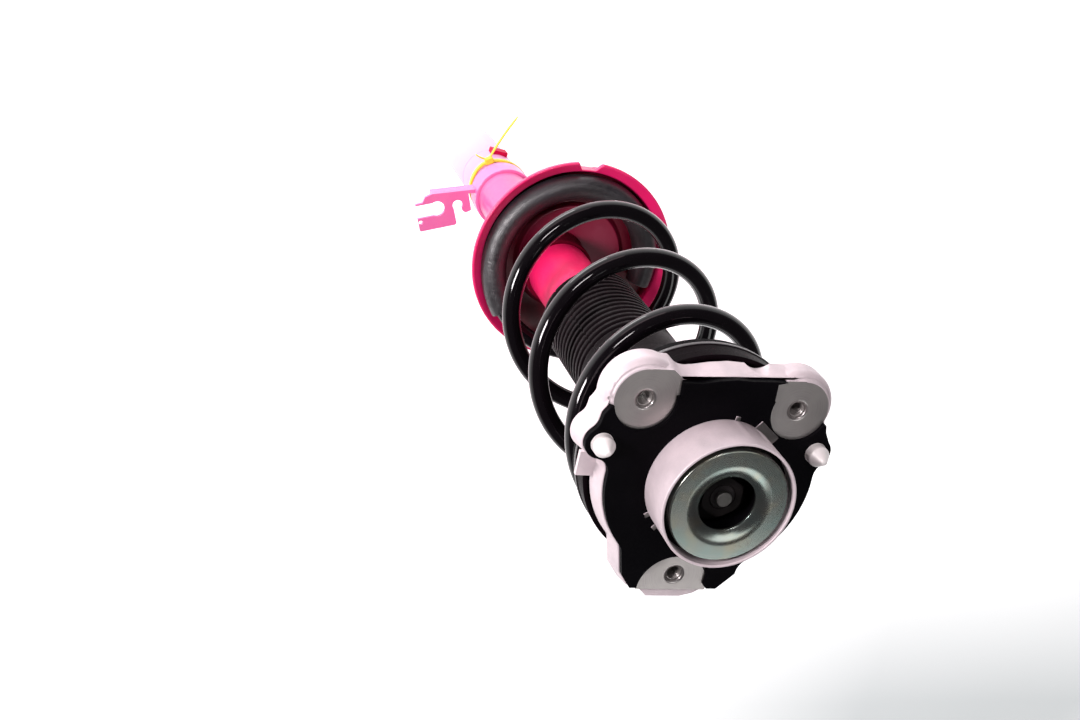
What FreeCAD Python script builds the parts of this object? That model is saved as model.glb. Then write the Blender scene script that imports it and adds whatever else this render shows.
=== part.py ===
"""Coilover: a strut damper with a coil spring, a lower spring pan and a bolted top mount.

The origin is the centre of the tube's lower end and +Z runs up the damper to the top mount.
All sizes are millimetres and angles are degrees. The damper is drawn at full droop.
"""
import FreeCAD, Part
import Sketcher

import math
import os
import re

from FreeCAD import Vector

Z_AXIS = Vector(0, 0, 1)

# Each driving size: its name, its value and what it is.
DIMENSIONS = [
    ("overall_height", 600.0, "tube's lower end to the rim of the top cup"),
    ("running_fit", 0.05, "radial clearance of parts that slide or turn"),
    ("tube_radius", 22.0, "strut tube, outside"),
    ("tube_wall", 2.5, "strut tube wall"),
    ("tube_length", 369.0, "strut tube"),
    ("end_plate", 3.0, "end cap's plate under the tube"),
    ("end_plug", 9.0, "end cap's plug inside the tube"),
    ("top_plate", 4.0, "top cap's plate on the tube"),
    ("top_skirt", 10.0, "top cap's skirt round the tube"),
    ("top_skirt_wall", 1.5, "top cap's skirt wall"),
    ("rod_gap", 2.0, "round the rod in the top cap"),
    ("seal_depth", 6.0, "rod seal"),
    ("guide_depth", 16.0, "rod guide's wide part"),
    ("guide_spigot", 6.0, "rod guide's part inside the inner cylinder"),
    ("oil_gap", 3.0, "inner cylinder inside the tube's bore"),
    ("cylinder_wall", 1.5, "inner cylinder's wall"),
    ("valve_step", 6.0, "base valve's foot and plug, each"),
    ("valve_edge", 3.9, "oil holes inside the inner cylinder's bore, to their edge"),
    ("valve_hole", 1.6, "oil hole's radius"),
    ("valve_hole_count", 6, "oil holes in the valve and in the piston"),
    ("rod_radius", 11.0, "piston rod"),
    ("rod_foot", 6.0, "rod's lower spigot through the piston, radius"),
    ("rod_thread", 7.0, "rod's upper thread, radius"),
    ("rod_stub", 4.3, "drive stub on the rod's end, radius"),
    ("stub_height", 3.0, "drive stub"),
    ("rod_end_drop", 7.0, "rod's end below the cup's rim"),
    ("piston_fit", 0.4, "piston's body inside the inner cylinder"),
    ("piston_height", 20.0, "piston"),
    ("ring_height", 6.0, "piston ring"),
    ("ring_depth", 1.6, "piston ring's groove"),
    ("piston_nut_wall", 4.0, "nut under the piston, round the rod's foot"),
    ("piston_nut_height", 8.0, "nut under the piston"),
    ("rebound_gap", 2.0, "rebound stop to the rod guide at full droop"),
    ("rebound_height", 14.0, "rebound stop"),
    ("rebound_wall", 3.0, "rebound stop round the rod"),
    ("rebound_space", 10.0, "rebound stop to the piston"),
    ("cup_radius", 37.3, "top cup, outside"),
    ("cup_wall", 1.7, "top cup's wall"),
    ("cup_stand", 25.5, "cup's rim above the face seal"),
    ("seal_thick", 4.0, "face seal"),
    ("seal_margin", 0.6, "face seal's edge inside the flange's edge"),
    ("seat_drop", 2.0, "bolt pads below the face seal's top"),
    ("flange_depth", 14.0, "casting's flange"),
    ("flange_draft", 2.4, "how far the flange's foot stands out"),
    ("cup_floor", 5.5, "cup's floor"),
    ("floor_hole", 18.0, "hole in the cup's floor, radius"),
    ("spigot_depth", 7.5, "cup's spigot below the flange"),
    ("spigot_wall", 3.3, "spigot's wall"),
    ("hub_radius", 60.0, "flange between its bosses"),
    ("boss_radius", 21.3, "boss round a front bolt hole"),
    ("boss_shoulder", 5.0, "boss's sloping shoulder below its pad, depth"),
    ("front_edge", 61.1, "flange's front edge from the axis"),
    ("ledge_drop", 1.3, "ledge beyond the back bolt pad, below the pad"),
    ("pin_lobe", 9.7, "flange round a locating pin"),
    ("blend_radius", 9.0, "flange's inside corners"),
    ("bolt_circle", 61.3, "bolt holes' circle radius"),
    ("bolt_centre_x", 5.1, "bolt circle's centre"),
    ("bolt_centre_y", -1.7, "bolt circle's centre"),
    ("bolt_hole", 4.25, "M10 tapping hole's radius"),
    ("bolt_mouth", 5.6, "chamfer at a bolt hole's mouth, radius"),
    ("seat_radius", 16.9, "front bolt pads"),
    ("back_seat_radius", 20.8, "back bolt pad"),
    ("pin_spread", 61.5, "locating pin from the bolt circle's centre along X"),
    ("pin_back", 20.0, "locating pins in front of the axis"),
    ("pin_radius", 5.9, "locating pin"),
    ("pin_foot", 6.1, "locating pin's foot in the face seal, radius"),
    ("pin_shank", 4.0, "locating pin's shank in the casting, radius"),
    ("pin_shank_depth", 8.0, "locating pin's shank"),
    ("pin_straight", 4.5, "locating pin's straight part above the face seal"),
    ("pin_cone", 6.9, "locating pin's cone"),
    ("pin_tip", 1.2, "locating pin's tip, radius"),
    ("bush_core_radius", 14.0, "bush's steel core"),
    ("bush_core_height", 17.0, "bush's steel core"),
    ("bush_lift", 1.0, "bush's core above the cup's floor"),
    ("washer_lap", 4.0, "washer beyond the bush's core"),
    ("washer_thick", 3.0, "washer on the bush"),
    ("nut_flats", 22.0, "rod nut across flats"),
    ("nut_height", 7.0, "rod nut"),
    ("disc_gap", 2.8, "cover disc's edge inside the cup's bore"),
    ("disc_drop", 0.5, "cover disc below the cup's rim"),
    ("disc_thick", 1.6, "cover disc's sheet"),
    ("disc_skirt", 9.5, "cover disc's skirt"),
    ("disc_flat_width", 11.3, "cover disc's flat ring"),
    ("disc_dish", 2.5, "cover disc's dish, depth"),
    ("disc_slope", 2.0, "cover disc's dish, width of its slope"),
    ("disc_dish_width", 3.7, "cover disc's level dish"),
    ("race_thick", 5.0, "bearing races"),
    ("race_gap", 6.5, "between the bearing races"),
    ("race_land", 3.5, "bearing races beyond the balls, outside"),
    ("race_land_inner", 2.5, "lower race beyond the balls, inside"),
    ("ball_radius", 4.0, "bearing ball"),
    ("ball_space", 7.2, "balls outside the cup's spigot"),
    ("ball_count", 24, "bearing balls"),
    ("cage_thick", 3.0, "bearing cage"),
    ("cage_margin", 1.6, "bearing cage's edge beyond a ball"),
    ("plate_margin", 9.2, "upper spring plate beyond the bearing races"),
    ("plate_thick", 3.0, "upper spring plate"),
    ("plate_height", 17.5, "upper spring plate's wall"),
    ("boot_lap", 0.6, "upper spring plate's hole inside the dust boot's bore"),
    ("upper_pad_thick", 6.0, "rubber pad under the upper plate"),
    ("upper_pad_lap", 2.5, "rubber pad inside the wire's upper turn"),
    ("cup_wall_bump", 2.0, "bump stop cup's wall"),
    ("bump_room", 1.0, "bump stop cup inside the upper plate's hole"),
    ("bump_cup_depth", 10.0, "bump stop cup"),
    ("bump_cup_plate", 3.0, "bump stop cup's plate"),
    ("bump_length", 67.0, "bump stop"),
    ("bump_waist", 21.0, "bump stop's waists, radius"),
    ("bump_tip", 17.0, "bump stop's tip, radius"),
    ("boot_low", 357.5, "dust boot's lower end above the origin"),
    ("boot_room", 6.6, "dust boot's bore outside the tube"),
    ("boot_wall", 1.6, "dust boot's wall between its ribs"),
    ("boot_rib", 2.8, "dust boot's ribs outside its wall"),
    ("boot_pitch", 5.7, "dust boot's ribs"),
    ("boot_ribs", 15, "dust boot's ribs"),
    ("boot_collar_drop", 0.5, "dust boot's collar inside its ribs"),
    ("boot_top_drop", 1.6, "dust boot's upper end inside its ribs"),
    ("boot_cuff", 4.0, "dust boot's cuff on the tube, height"),
    ("cuff_gap", 0.3, "dust boot's cuff round the tube"),
    ("wire_radius", 6.0, "spring wire"),
    ("seat_gap", 0.6, "spring and its sleeve to their seats"),
    ("coil_radius", 62.0, "spring's centre line"),
    ("coil_low_radius", 55.0, "spring's lower end turn"),
    ("coil_high_radius", 57.0, "spring's upper end turn"),
    ("coil_low_start", 170.0, "angle of the wire's lower tip"),
    ("coil_rise_start", 359.0, "angle where the wire leaves the lower seat"),
    ("coil_turns", 3.1, "turns between the seats"),
    ("coil_high_dead", 165.0, "angle of the wire on the upper seat"),
    ("pan_centre_x", -12.4, "lower pan's centre off the damper"),
    ("pan_centre_y", -5.3, "lower pan's centre off the damper"),
    ("pan_floor", 258.0, "lower pan's channel above the origin"),
    ("pan_band", 9.5, "lower pan's rim band, outside its channel"),
    ("pan_rim", 14.2, "lower pan's rim above its channel"),
    ("pan_lip", 10.0, "lower pan's channel wall"),
    ("pan_thick", 3.0, "lower pan's sheet"),
    ("pan_room", 0.5, "lower pan's channel outside the sleeve"),
    ("pan_step", 38.0, "lower pan's middle plate, radius"),
    ("neck_wall", 2.5, "lower pan's neck"),
    ("neck_height", 21.0, "lower pan's neck above its middle plate"),
    ("pan_notch_angle", -88.8, "notch in the pan's rim"),
    ("pan_notch_width", 15.0, "notch in the pan's rim"),
    ("pan_notch_depth", 6.0, "notch in the pan's rim"),
    ("sleeve_wall", 3.0, "rubber sleeve on the lower end turn"),
    ("sleeve_tip", 4.0, "sleeve's closed end, in degrees past the wire"),
    ("sleeve_end", 400.0, "angle where the sleeve ends"),
    ("sleeve_fit", 0.05, "sleeve's bore round the wire"),
    ("collar_low", 105.0, "hose bracket's collar above the origin"),
    ("collar_height", 19.0, "hose bracket's collar"),
    ("collar_wall", 2.5, "hose bracket's collar"),
    ("bracket_rise", 10.0, "hose bracket's plate above the collar's foot"),
    ("bracket_thick", 3.0, "hose bracket's plate"),
    ("bracket_hem", 12.0, "hose bracket's turned edge"),
    ("inner_slot", 4.2, "hose slot near the tube, radius"),
    ("outer_slot", 6.3, "hose slot near the end, radius"),
    ("bracket_hole", 1.7, "small hole in the bracket, radius"),
    ("tie_height", 94.0, "cable tie above the origin"),
    ("tie_width", 4.0, "cable tie's band"),
    ("tie_thick", 1.8, "cable tie's band"),
    ("tie_head", 7.0, "cable tie's head"),
    ("tie_tail", 42.0, "cable tie's tail"),
    ("tie_angle", -65.0, "cable tie's head"),
    ("tie_tail_angle", -122.0, "cable tie's tail"),
    ("tie_tail_thick", 1.2, "cable tie's tail"),
    ("clamp_length", 64.0, "tube's lower end, which goes into the knuckle's clamp"),
    ("groove_width", 2.0, "groove above the clamped end, up to the lug"),
    ("groove_depth", 0.4, "groove above the clamped end"),
    ("lug_height", 10.0, "locating lug"),
    ("lug_width", 14.0, "locating lug"),
    ("lug_stand", 3.0, "locating lug from the tube"),
    ("lug_angle", -97.0, "locating lug"),
]

# Each height or size that follows from the driving sizes: its name and its formula.
DERIVED = [
    ("tube_bore", "tube_radius - tube_wall"),
    ("cylinder_bore", "tube_bore - oil_gap - cylinder_wall"),
    ("tube_top", "end_plate + tube_length"),
    ("lug_low", "clamp_length + groove_width"),
    ("groove_radius", "tube_radius - groove_depth"),
    ("plug_top", "end_plate + end_plug"),
    ("valve_holes_radius", "cylinder_bore - valve_edge - valve_hole"),
    ("valve_shoulder", "plug_top + valve_step"),
    ("valve_top", "valve_shoulder + valve_step"),
    ("cap_top", "tube_top + top_plate"),
    ("rod_seal_low", "tube_top - seal_depth"),
    ("guide_low", "rod_seal_low - guide_depth"),
    ("guide_tip", "guide_low - guide_spigot"),
    ("rod_bore", "rod_radius + running_fit"),
    ("rebound_radius", "rod_radius + rebound_wall"),
    ("rebound_top", "guide_tip - rebound_gap"),
    ("rebound_low", "rebound_top - rebound_height"),
    ("piston_top", "rebound_low - rebound_space"),
    ("piston_low", "piston_top - piston_height"),
    ("piston_radius", "cylinder_bore - piston_fit"),
    ("ring_low", "piston_low + (piston_height - ring_height) / 2"),
    ("rod_low", "piston_low - piston_nut_height"),
    ("seal_top", "overall_height - cup_stand"),
    ("seat_top", "seal_top - seat_drop"),
    ("face_top", "seal_top - seal_thick"),
    ("flange_low", "face_top - flange_depth"),
    ("floor_top", "flange_low + cup_floor"),
    ("spigot_low", "flange_low - spigot_depth"),
    ("cup_bore", "cup_radius - cup_wall"),
    ("disc_radius", "cup_bore - disc_gap"),
    ("disc_flat", "disc_radius - disc_flat_width"),
    ("disc_foot", "disc_flat - disc_slope"),
    ("disc_hole", "disc_foot - disc_dish_width"),
    ("core_low", "floor_top + bush_lift"),
    ("core_top", "core_low + bush_core_height"),
    ("washer_top", "core_top + washer_thick"),
    ("washer_radius", "bush_core_radius + washer_lap"),
    ("rod_end", "overall_height - rod_end_drop"),
    ("thread_top", "rod_end - stub_height"),
    ("disc_top", "overall_height - disc_drop"),
    ("disc_low", "disc_top - disc_skirt"),
    ("upper_race_low", "flange_low - race_thick"),
    ("lower_race_top", "upper_race_low - race_gap"),
    ("ball_height", "lower_race_top + race_gap / 2"),
    ("ball_circle", "cup_radius + ball_space + ball_radius"),
    ("race_outer", "ball_circle + ball_radius + race_land"),
    ("race_inner", "ball_circle - ball_radius - race_land_inner"),
    ("plate_radius", "race_outer + plate_margin"),
    ("plate_top", "lower_race_top - race_thick"),
    ("plate_low", "plate_top - plate_thick"),
    ("upper_pad_low", "plate_low - upper_pad_thick"),
    ("bump_top", "flange_low - bump_cup_plate"),
    ("bump_low", "bump_top - bump_length"),
    ("coil_high", "upper_pad_low - wire_radius - seat_gap"),
    ("sleeve_radius", "wire_radius + sleeve_wall"),
    ("coil_low", "pan_floor + sleeve_radius + seat_gap"),
    ("pan_channel", "coil_low_radius + sleeve_radius + pan_room"),
    ("pan_radius", "pan_channel + pan_band"),
    ("boot_bore", "tube_radius + boot_room"),
    ("boot_valley", "boot_bore + boot_wall"),
    ("boot_radius", "boot_valley + boot_rib"),
    ("plate_bore", "boot_bore - boot_lap"),
    ("bump_cup_radius", "plate_bore - bump_room"),
    ("bump_radius", "bump_cup_radius - cup_wall_bump"),
    ("pan_low", "pan_floor - pan_thick"),
    ("pan_plate_top", "pan_floor + pan_thick"),
    ("neck_top", "pan_plate_top + neck_height"),
    ("neck_radius", "tube_radius + neck_wall"),
    ("boss_top_radius", "boss_radius - flange_draft - 0.1"),
]

# Outlines in the plane across the damper, as X and Y from the damper's axis.
BOLT_ANGLES = (-45.5, 223.4, 89.3)
# The corners that each front bolt pad has beside its round part, from its hole's centre.
SEAT_WEDGES = (
    ((-0.1, -17.1), (-11.8, -17.3), (-17.4, -13.2), (-18.2, -3.6), (-0.1, 0.4)),
    ((-0.6, -17.1), (10.8, -16.7), (16.2, -15.0), (15.6, -5.2), (-0.6, -0.2)),
)
# The back bolt pad is a disc cut straight, with a ledge beyond it, from its hole's centre.
BACK_SEAT_CENTRE = Vector(0.4, 8.4, 0)
BACK_SEAT = ((-18.2, -14.0), (24.0, -14.0), (24.0, 9.8), (-22.0, 9.8), (-18.0, 5.7))
BACK_LEDGE = ((18.6, 5.0), (18.6, 9.9), (13.2, 15.0), (-7.0, 15.0), (-14.5, 12.9), (-19.0, 9.8), (-17.0, 5.0))
# The flange and its seal between each front bolt hole and the pin beside it, from the hole's centre.
PIN_LINKS = (
    ((0.0, 0.0), (18.4, 3.9), (21.6, 8.9), (22.2, 14.4), (18.5, 25.4), (-3.0, 20.4)),
    ((0.0, 0.0), (-16.4, 5.0), (-19.3, 6.9), (-20.4, 11.3), (-22.6, 14.8), (-17.0, 23.8), (-0.6, 18.8)),
)
# The flange's front edge: places across it, and how far each lies behind the farthest one.
FRONT_BOW = ((-39.4, 0.0), (-20.0, 0.2), (-8.0, 0.7), (0.0, 0.4), (10.0, 1.6), (20.0, 3.6), (48.1, 4.1))
# Scallops in the flange's front wall beside the bosses: centre, and radius above and at the foot.
SCALLOPS = ((Vector(25.0, -70.5, 0), 9.6, 11.2), (Vector(-16.5, -70.5, 0), 9.6, 10.6))
# Each front boss from its hole's centre.
BOSS_SHIFTS = (Vector(), Vector(-1.0, 0.3, 0))
BACK_BLOCK = ((-33.0, 30.0), (-30.0, 58.0), (-20.5, 68.3), (31.5, 68.3), (38.0, 60.0), (44.0, 35.0))
SIDE_LUG = ((40.0, -7.0), (71.0, -7.0), (71.0, 7.0), (40.0, 7.0))
SIDE_LUG_HEIGHT = 3.5
CUP_NIBS = ((-97.8, 2.6, 2.4), (33.4, 2.6, 2.4), (47.8, 2.6, 2.8), (-128.0, 15.0, 4.4))
NIB_RISE = 0.4
BRACKET_OUTLINE = (
    (31.4, -1.8), (59.1, 4.4), (64.3, 7.9), (65.5, 12.7), (71.3, 14.9), (67.4, 26.5), (63.5, 37.1),
    (35.7, 28.2), (34.9, 26.5), (39.6, 14.2), (33.2, 12.2), (31.9, 15.7), (29.1, 17.1), (24.7, 14.5),
    (29.5, 0.8),
)
INNER_SLOT_CENTRE = Vector(36.7, 11.4, 0)
OUTER_SLOT_CENTRE = Vector(52.9, 16.3, 0)
OUTER_SLOT_MOUTH = Vector(69.6, 21.5, 0)
BRACKET_HOLE_CENTRE = Vector(64.3, 29.4, 0)
BRACKET_CORNER = 0.9
OUTER_SLOT_SHARE = 0.87
HEM_START = Vector(21.0, -4.1, 0)
HEM_END = Vector(59.1, 4.4, 0)
RISE_BLEND = 28.0
GAP_LIMIT = 0.4

doc = FreeCAD.newDocument("coilover")
dims = doc.addObject("Spreadsheet::Sheet", "Dims")
levels = doc.addObject("App::VarSet", "Levels")


def fill_sheet():
    """Put each driving size into the sheet, and each derived one into the variable set."""
    for row, (name, value, note) in enumerate(DIMENSIONS, start=1):
        dims.set(f"A{row}", name)
        dims.set(f"B{row}", str(value))
        dims.set(f"C{row}", note)
        dims.setAlias(f"B{row}", name)
    doc.recompute()
    for name, formula in DERIVED:
        levels.addProperty("App::PropertyFloat", name, "Levels", formula)
        levels.setExpression(name, bound(formula))
        doc.recompute()


def bound(formula):
    """Return the formula with each name pointing at the sheet or at the variable set."""
    derived = {name for name, _ in DERIVED}

    def owner(match):
        name = match.group(0)
        return f"{'Levels' if name in derived else 'Dims'}.{name}"

    return re.sub(r"[a-z][a-z_]+", owner, str(formula))


def size(name):
    """Return a driving or derived size as a number."""
    holder = levels if name in levels.PropertiesList else dims
    return float(getattr(holder, name))


def plane(body, role):
    """Return the origin plane of a body by its role."""
    return next(item for item in body.Origin.OriginFeatures if item.Role == role)


def bind_point(sketch, geometry, place, across, up):
    """Hold a line's start point at two formulas measured from the sketch's origin."""
    for kind, formula, value in (("DistanceX", across, place.x), ("DistanceY", up, place.y)):
        if formula == "0":
            axis = -2 if kind == "DistanceX" else -1
            sketch.addConstraint(Sketcher.Constraint("PointOnObject", geometry, 1, axis))
            continue
        index = sketch.addConstraint(Sketcher.Constraint(kind, -1, 1, geometry, 1, value))
        sketch.setExpression(f"Constraints[{index}]", bound(formula))


def profile(body, points):
    """Draw a closed profile of straight lines on a body's XZ plane, each corner held by formulas."""
    sketch = body.newObject("Sketcher::SketchObject", f"{body.Name}_profile")
    sketch.AttachmentSupport = (plane(body, "XZ_Plane"), [""])
    sketch.MapMode = "FlatFace"
    places = [Vector(*(float(levels.evalExpression(bound(value))) for value in point), 0) for point in points]
    count = len(points)
    for index in range(count):
        sketch.addGeometry(Part.LineSegment(places[index], places[(index + 1) % count]))
    for index in range(count):
        sketch.addConstraint(Sketcher.Constraint("Coincident", index, 2, (index + 1) % count, 1))
        bind_point(sketch, index, places[index], *points[index])
    return sketch


def turned(label, points):
    """Turn a profile of (radius, height) formulas about the Z axis into a body."""
    body = doc.addObject("PartDesign::Body", label)
    sketch = profile(body, points)
    turn = body.newObject("PartDesign::Revolution", f"{label}_turn")
    turn.Profile = sketch
    turn.ReferenceAxis = (sketch, ["V_Axis"])
    turn.Angle = 360
    doc.recompute()
    return body


def ring(label, inner, outer, low, high):
    """Turn a plain ring from its two radii and two heights."""
    return turned(label, [(inner, low), (outer, low), (outer, high), (inner, high)])


def drilled(body, radius, circle, count):
    """Drill a ring of through holes along Z in a turned body."""
    before = body.Shape.Volume
    sketch = body.newObject("Sketcher::SketchObject", f"{body.Name}_hole")
    sketch.AttachmentSupport = (plane(body, "XY_Plane"), [""])
    sketch.MapMode = "FlatFace"
    sketch.addGeometry(Part.Circle(Vector(size(circle), 0, 0), Z_AXIS, size(radius)))
    sketch.addConstraint(Sketcher.Constraint("PointOnObject", 0, 3, -1))
    for kind, ends, name in (("DistanceX", (-1, 1, 0, 3), circle), ("Radius", (0,), radius)):
        index = sketch.addConstraint(Sketcher.Constraint(kind, *ends, size(name)))
        sketch.setExpression(f"Constraints[{index}]", bound(name))
    pocket = body.newObject("PartDesign::Pocket", f"{body.Name}_drill")
    pocket.Profile = sketch
    pocket.Type = "ThroughAll"
    pocket.Midplane = True
    doc.recompute()
    pattern = body.newObject("PartDesign::PolarPattern", f"{body.Name}_holes")
    pattern.Originals = [pocket]
    pattern.Axis = (sketch, ["N_Axis"])
    pattern.Angle = 360
    pattern.setExpression("Occurrences", bound(count))
    body.Tip = pattern
    doc.recompute()
    if body.Shape.Volume >= before:
        raise RuntimeError(f"{body.Label}: the holes cut nothing")


def primitive(kind, name, sizes, place=("0", "0", "0")):
    """Add a Part primitive whose sizes and position are bound to formulas."""
    item = doc.addObject(kind, name)
    for prop, formula in sizes.items():
        item.setExpression(prop, bound(formula))
    for axis, formula in zip("xyz", place):
        item.setExpression(f"Placement.Base.{axis}", bound(formula))
    return item


def joined(label, items):
    """Fuse objects into one sub-part."""
    fuse = doc.addObject("Part::MultiFuse", label)
    fuse.Shapes = items
    fuse.Refine = True
    return fuse


def less(label, base, tool):
    """Cut one object from another and check that it cut something."""
    cut = doc.addObject("Part::Cut", label)
    cut.Base = base
    cut.Tool = tool
    cut.Refine = True
    doc.recompute()
    if cut.Shape.Volume >= base.Shape.Volume:
        raise RuntimeError(f"{label}: the cut removed nothing")
    return cut


def feature(label, shape):
    """Hold a worked-out shape as a sub-part."""
    item = doc.addObject("Part::Feature", label)
    item.Shape = shape
    return item


def at_angle(radius, angle, height=0.0):
    """Return the point at a radius and an angle about the damper."""
    return Vector(radius * math.cos(math.radians(angle)), radius * math.sin(math.radians(angle)), height)


def disc_face(centre, radius):
    """Return a flat disc."""
    return Part.Face(Part.Wire(Part.makeCircle(radius, Vector(centre.x, centre.y, 0))))


def poly_face(points):
    """Return a flat face that looks up from corner points taken either way round."""
    corners = [Vector(x, y, 0) for x, y in points]
    face = Part.Face(Part.makePolygon(corners + corners[:1]))
    if face.normalAt(0, 0).z > 0:
        return face
    corners.reverse()
    return Part.Face(Part.makePolygon(corners + corners[:1]))


def eased(face, inside, outside=0.0):
    """Round a face's inside corners, and its outside ones too where a radius is given."""
    wire = Part.Face(face.OuterWire)
    if inside:
        wire = wire.makeOffset2D(inside).makeOffset2D(-inside)
    if outside:
        wire = wire.makeOffset2D(-outside).makeOffset2D(outside)
    return wire


def merged(faces):
    """Fuse flat faces into one."""
    shape = faces[0].fuse(faces[1:]).removeSplitter()
    if len(shape.Faces) != 1:
        raise RuntimeError("an outline's faces don't join into one")
    return Part.Face(shape.Faces[0].OuterWire)


def raised(face, low, high):
    """Extrude a flat face between two heights."""
    block = face.extrude(Vector(0, 0, high - low))
    block.translate(Vector(0, 0, low))
    return block


def rod(centre, radius, low, high):
    """Return a solid cylinder along Z."""
    return Part.makeCylinder(radius, high - low, Vector(centre.x, centre.y, low))


def box_at(angle, near, far, width, low, high):
    """Return a block that points away from the damper at an angle."""
    block = Part.makeBox(far - near, width, high - low, Vector(near, -width / 2, low))
    block.rotate(Vector(), Z_AXIS, angle)
    return block


def damper():
    """Make the tube, its caps, guide, seal, inner cylinder and base valve."""
    turned("strut_tube", [("tube_bore", "end_plate"), ("tube_radius", "end_plate"),
                          ("tube_radius", "clamp_length"), ("groove_radius", "clamp_length"),
                          ("groove_radius", "lug_low"), ("tube_radius", "lug_low"),
                          ("tube_radius", "tube_top"), ("tube_bore", "tube_top")])
    turned("tube_end_cap", [("0", "0"), ("tube_radius", "0"), ("tube_radius", "end_plate"),
                            ("tube_bore", "end_plate"), ("tube_bore", "plug_top"), ("0", "plug_top")])
    turned("tube_top_cap", [("rod_radius + rod_gap", "tube_top"), ("tube_radius", "tube_top"),
                            ("tube_radius", "tube_top - top_skirt"),
                            ("tube_radius + top_skirt_wall", "tube_top - top_skirt"),
                            ("tube_radius + top_skirt_wall", "cap_top"), ("rod_radius + rod_gap", "cap_top")])
    turned("rod_guide", [("rod_bore", "guide_tip"), ("cylinder_bore", "guide_tip"),
                         ("cylinder_bore", "guide_low"), ("tube_bore", "guide_low"),
                         ("tube_bore", "rod_seal_low"), ("rod_bore", "rod_seal_low")])
    ring("rod_seal", "rod_bore", "tube_bore", "rod_seal_low", "tube_top")
    ring("inner_cylinder", "cylinder_bore", "cylinder_bore + cylinder_wall", "valve_shoulder", "guide_low")
    valve = turned("base_valve", [("0", "plug_top"), ("cylinder_bore + cylinder_wall", "plug_top"),
                                  ("cylinder_bore + cylinder_wall", "valve_shoulder"),
                                  ("cylinder_bore", "valve_shoulder"), ("cylinder_bore", "valve_top"),
                                  ("0", "valve_top")])
    drilled(valve, "valve_hole", "valve_holes_radius", "valve_hole_count")


def rod_and_piston():
    """Make the rod, the piston with its ring and nut, and the rebound stop."""
    turned("piston_rod", [("0", "rod_low"), ("rod_foot", "rod_low"), ("rod_foot", "piston_top"),
                          ("rod_radius", "piston_top"), ("rod_radius", "core_low"),
                          ("rod_thread", "core_low"), ("rod_thread", "thread_top"),
                          ("rod_stub", "thread_top"), ("rod_stub", "rod_end"), ("0", "rod_end")])
    piston = turned("piston", [("rod_foot", "piston_low"), ("piston_radius", "piston_low"),
                               ("piston_radius", "ring_low"), ("piston_radius - ring_depth", "ring_low"),
                               ("piston_radius - ring_depth", "ring_low + ring_height"),
                               ("piston_radius", "ring_low + ring_height"),
                               ("piston_radius", "piston_top"), ("rod_foot", "piston_top")])
    drilled(piston, "valve_hole", "valve_holes_radius", "valve_hole_count")
    ring("piston_ring", "piston_radius - ring_depth", "cylinder_bore - running_fit", "ring_low",
         "ring_low + ring_height")
    nut_face = Part.Face(hexagon(size("rod_foot") + size("piston_nut_wall")))
    hole = disc_face(Vector(), size("rod_foot"))
    feature("piston_nut", raised(nut_face.cut(hole), size("rod_low"), size("piston_low")))
    turned("rebound_stop", [("rod_radius", "rebound_low"), ("rebound_radius", "rebound_low"),
                            ("rebound_radius", "rebound_top - 2"), ("rebound_radius - 2", "rebound_top"),
                            ("rod_radius", "rebound_top")])


def hexagon(corner_radius):
    """Return a hexagonal wire."""
    corners = [at_angle(corner_radius, 60 * index) for index in range(7)]
    return Part.makePolygon(corners)


def bolt_centres():
    """Return the centres of the three bolt holes."""
    middle = Vector(size("bolt_centre_x"), size("bolt_centre_y"), 0)
    return [middle + at_angle(size("bolt_circle"), angle) for angle in BOLT_ANGLES]


def boss_centres():
    """Return the centres of the two front bosses."""
    return [hole + shift for hole, shift in zip(bolt_centres(), BOSS_SHIFTS)]


def pin_centres():
    """Return the centres of the two locating pins."""
    middle = size("bolt_centre_x")
    spread = size("pin_spread")
    return [Vector(middle + side * spread, -size("pin_back"), 0) for side in (1, -1)]


def placed(corners, centre):
    """Return a flat face from corner points measured from a centre."""
    return poly_face([(centre.x + across, centre.y + along) for across, along in corners])


def seats():
    """Return the outline of each machined bolt pad, the back one last."""
    centres = bolt_centres()
    faces = []
    for centre, boss, wedge in zip(centres, boss_centres(), SEAT_WEDGES):
        faces.append(merged([disc_face(boss, size("seat_radius")), placed(wedge, centre)]))
    back = disc_face(centres[2] + BACK_SEAT_CENTRE, size("back_seat_radius"))
    faces.append(back.common(placed(BACK_SEAT, centres[2])).Faces[0])
    return faces


def ledge():
    """Return the outline of the ledge beyond the back bolt pad."""
    return placed(BACK_LEDGE, bolt_centres()[2])


def sealed_face():
    """Return the outline of the flange without its bosses, which the seal follows."""
    centres = bolt_centres()
    front = [(across, back - size("front_edge")) for across, back in FRONT_BOW]
    faces = [disc_face(Vector(), size("hub_radius")), poly_face(BACK_BLOCK)]
    faces += [disc_face(centre, size("pin_lobe")) for centre in pin_centres()]
    faces += [placed(link, centre) for centre, link in zip(centres, PIN_LINKS)]
    faces.append(poly_face(front + [(centres[0].x, 0), (centres[1].x, 0)]))
    return merged(faces)


def flange_face():
    """Return the outline of the casting's upper face."""
    bosses = [disc_face(centre, size("boss_top_radius")) for centre in boss_centres()]
    return eased(merged([sealed_face(), ledge()] + bosses + seats()), size("blend_radius"))


def bosses():
    """Make the front bosses, each a cylinder with a sloping shoulder up to its pad."""
    low, high = size("flange_low"), size("seat_top")
    step = high - size("boss_shoulder")
    solids = []
    for centre in boss_centres():
        shoulder = Part.makeCone(size("boss_radius"), size("seat_radius"), high - step, centre + Vector(0, 0, step))
        solids.append(rod(centre, size("boss_radius"), low, step).fuse(shoulder))
    return solids


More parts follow.
